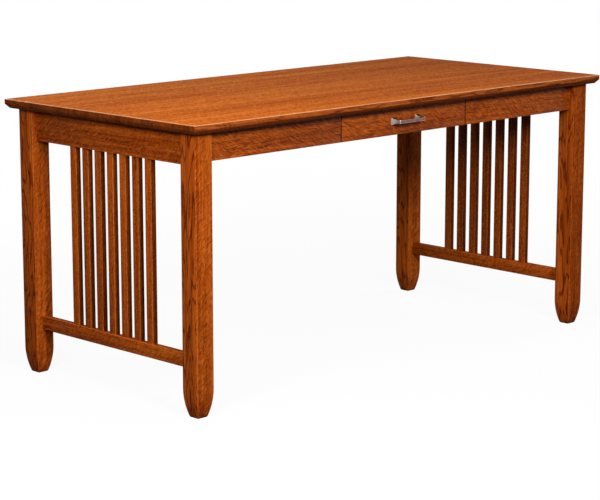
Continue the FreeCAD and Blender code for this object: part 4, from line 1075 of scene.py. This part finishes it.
far_post = copy_at(post, "pull_far_post", (2 * (pull_middle.x - post_x), 0, 0))
for part, outward in ((post, -1), (far_post, 1)):
    only(part)
    mode("EDIT")
    # Outward sides of the posts: painted light in a paler pewter.
    paint(part, OTHER, lambda face: face.normal.x * outward > LIT_SIDE_FACE and face.material_index == MAIN)
    mode("OBJECT")
bar_half = PULL_BAR_HEIGHT / 2
bar = block("pull_bar", (post_x, low.y, pull_middle.z - bar_half),
            (2 * pull_middle.x - post_x, low.y + PULL_BAR_DEPTH, pull_middle.z + bar_half))
give(bar, pewter, pewter_rubbed, pewter_lit_side)
use(bar, "BEVEL", material=EDGES, **PULL_ROUNDING)
for part in (post, far_post):
    use(bar, "BOOLEAN", object=part, operation="UNION", solver="EXACT")
    bpy.data.objects.remove(part)
bar.name = "drawer_pull_pewter"
smooth(bar)
hand_over(bar, ["drawer_pull"])
print("pull:", len(bar.data.polygons), "faces")

# %% [markdown]
# Where the screws and balls are
#
# The CAD nodes hold small eight-sided stand-ins for screws and balls, many in one node. Their places could be
# typed in again, but then they would stay behind if the CAD changed. So they are read from a copy: corners
# that edges join belong to one stand-in.

# %% Where the screws and balls are
def loose_parts(node):
    """The corners of each separate solid in a CAD node."""
    source = frame["nodes"][node]
    scratch = bmesh.new()
    scratch.from_mesh(source.data)
    bmesh.ops.remove_doubles(scratch, verts=scratch.verts, dist=SEAM)
    left = set(scratch.verts)
    parts = []
    while left:
        group = [left.pop()]
        for corner in group:
            for edge in corner.link_edges:
                other = edge.other_vert(corner)
                if other in left:
                    left.remove(other)
                    group.append(other)
        parts.append([corner.co.copy() for corner in group])
    scratch.free()
    return parts


def extent(points):
    """Lowest and highest corners of the box round some points."""
    low = Vector([min(point[axis] for point in points) for axis in range(3)])
    high = Vector([max(point[axis] for point in points) for axis in range(3)])
    return low, high


screw_nodes = [node for node in sorted(frame["nodes"]) if node.endswith("_screws")]
print("nodes with screws:", len(screw_nodes))

# %% [markdown]
# The measures of a screw
#
# A stand-in screw is a thick disc on a thin rod along one axis, so its longest side is its length and its
# thick end is its head. That gives all that a round screw needs.

# %% The measures of a screw
LEVEL_SHARE = 0.02


def screw_facts(points):
    """Head end, direction, length and radii of one stand-in screw."""
    low, high = extent(points)
    size = high - low
    axis = max(range(3), key=lambda number: size[number])
    across = 1 if axis == 0 else 0
    middle = (low + high) / 2

    def girth(level):
        near = [point for point in points if abs(point[axis] - level) < size[axis] * LEVEL_SHARE]
        return max(abs(point[across] - middle[across]) for point in near)

    head_end, tip_end = sorted((low[axis], high[axis]), key=girth, reverse=True)
    head = middle.copy()
    head[axis] = head_end
    direction = Vector((0, 0, 0))
    direction[axis] = 1 if tip_end > head_end else -1
    widest = max(abs(point[across] - middle[across]) for point in points)
    return head, direction, size[axis], widest, girth(tip_end)


print("a screw's ends are measured within", LEVEL_SHARE, "of its length")

# %% [markdown]
# A round screw
#
# A pan head screw has a low round head with a cross recess, and a shank that ends in a point. It is built of
# a bevelled cylinder, from which two crossed bars are cut, and a second cylinder whose tip is drawn in. A
# thread would need thousands of faces, and no screw of the desk shows one.

# %% A round screw
SCREW_SIDES = 24
HEAD_HEIGHT_SHARE = 0.43
HEAD_ROUND_SHARE = 0.45
HEAD_ROUND_STEPS = 4
HEAD_EDGE = math.radians(60)
CROSS_SHARE = 0.62
CROSS_WIDTH_SHARE = 0.2
CROSS_DEPTH_SHARE = 0.6
TIP_SHARE = 0.5


def round_screw(name, length, head_radius, shank_radius):
    """A screw that points along +Z from the top of its head at the origin."""
    head_height = head_radius * HEAD_HEIGHT_SHARE
    bpy.ops.object.select_all(action="DESELECT")
    bpy.ops.mesh.primitive_cylinder_add(vertices=SCREW_SIDES, radius=head_radius, depth=head_height,
                                        location=(0, 0, head_height / 2))
    head = bpy.context.object
    give(head, screw_zinc, screw_edge)
    use(head, "BEVEL", width=head_height * HEAD_ROUND_SHARE, segments=HEAD_ROUND_STEPS, limit_method="ANGLE",
        angle_limit=HEAD_EDGE, material=EDGES)
    reach = head_radius * CROSS_SHARE
    thin = head_radius * CROSS_WIDTH_SHARE
    deep = head_height * CROSS_DEPTH_SHARE
    for count, (across, up) in enumerate(((reach, thin), (thin, reach))):
        cutter = block(f"cross_{count}", (-across, -up, -deep), (across, up, deep))
        use(head, "BOOLEAN", object=cutter, operation="DIFFERENCE", solver="EXACT")
        bpy.data.objects.remove(cutter)

    shank_top = head_height / 2
    bpy.ops.object.select_all(action="DESELECT")
    bpy.ops.mesh.primitive_cylinder_add(vertices=SCREW_SIDES, radius=shank_radius, depth=length - shank_top,
                                        location=(0, 0, (length + shank_top) / 2))
    shank = bpy.context.object
    give(shank, screw_zinc, screw_edge)
    mode("EDIT")
    pick(shank, "FACE", lambda face: face.normal.z > SLANT)
    bpy.ops.transform.resize(value=(TIP_SHARE, TIP_SHARE, 1), center_override=(0, 0, length / 2))
    mode("OBJECT")
    join([head, shank])
    head.name = name
    bpy.ops.object.transform_apply(location=True, rotation=True, scale=True)
    smooth(head)
    return head


print("screws have", SCREW_SIDES, "sides")

# %% [markdown]
# All the screws
#
# The screws of one node have one length, so one round screw is modelled for each node and copied to all its
# places, turned to point the same way as its stand-in. Joined, they replace the node as one piece.

# %% All the screws
screw_count = 0
for node in screw_nodes:
    facts = [screw_facts(points) for points in loose_parts(node)]
    pattern = round_screw(f"{node}_pattern", *facts[0][2:])
    group = []
    for head, direction, length, head_radius, shank_radius in facts:
        only(pattern)
        bpy.ops.object.duplicate()
        screw = bpy.context.object
        screw.rotation_mode = "QUATERNION"
        screw.rotation_quaternion = direction.to_track_quat("Z", "Y")
        screw.location = head
        bpy.ops.object.transform_apply(location=True, rotation=True, scale=False)
        group.append(screw)
    bpy.data.objects.remove(pattern)
    join(group)
    group[0].name = f"{node}_round"
    screw_count += len(group)
    hand_over(group[0], [node])
print("round screws:", screw_count)

# %% [markdown]
# Slides and clips
#
# The slides and the clips are folded from thin sheet, which the CAD nodes follow bend for bend. So they are
# softened copies too, with rounds of a quarter of a millimetre, as the edges of rolled steel have.

# %% Slides and clips
STEEL_EDGE = 0.00025

steel_nodes = [node for node in sorted(frame["nodes"]) if node.startswith("slide_")]
steel_nodes = [node for node in steel_nodes if node not in screw_nodes]
for node in steel_nodes:
    piece = softened(node, f"{node}_zinc", STEEL_EDGE, (zinc, zinc_edge))
    hand_over(piece, [node])
clips = softened("top_clips", "top_clips_zinc", STEEL_EDGE, (screw_zinc, screw_edge))
hand_over(clips, ["top_clips"])
print("slide members:", len(steel_nodes))

# %% [markdown]
# Ball cages
#
# A cage is thin strips that hold the balls between the members of a slide. The strips are kept as softened
# copies. The stand-in balls have eight sides, and no rounding makes those round, so each gives way to a
# sphere of its own size and place.

# %% Ball cages
CAGE_EDGE = STEEL_EDGE / 3
BALL_LIMIT = 0.004
BALL_SIDES = 20


def round_ball(low, high):
    """A polished ball that fills the box of its stand-in."""
    bpy.ops.object.select_all(action="DESELECT")
    bpy.ops.mesh.primitive_uv_sphere_add(segments=BALL_SIDES, ring_count=BALL_SIDES // 2,
                                         radius=(high.z - low.z) / 2, location=(low + high) / 2)
    ball = bpy.context.object
    bpy.ops.object.transform_apply(location=True, rotation=False, scale=False)
    give(ball, zinc_edge)
    smooth(ball)
    return ball


ball_count = 0
for node in [node for node in sorted(frame["nodes"]) if node.startswith("ball_cage")]:
    cage = softened(node, f"{node}_steel", CAGE_EDGE, (zinc, zinc_edge), segments=1)
    only(cage)
    mode("EDIT")
    bpy.ops.mesh.separate(type="LOOSE")
    mode("OBJECT")
    strips = []
    balls = []
    for part in bpy.context.selected_objects:
        low, high = extent([corner.co for corner in part.data.vertices])
        if high.y - low.y > BALL_LIMIT:
            strips.append(part)
        else:
            balls.append((low, high))
            bpy.data.objects.remove(part)
    pieces = strips + [round_ball(*box) for box in balls]
    join(pieces)
    pieces[0].name = f"{node}_steel"
    ball_count += len(balls)
    hand_over(pieces[0], [node])
print("balls:", ball_count)

# %% [markdown]
#
# The dressed desk has to stay the size of the CAD model. Both boxes are written down side by side.

dressed_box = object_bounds()
sizes = {"cad": [list(corner) for corner in cad_box], "visual": [list(corner) for corner in dressed_box]}
print("CAD box", sizes["cad"], "dressed box", sizes["visual"])
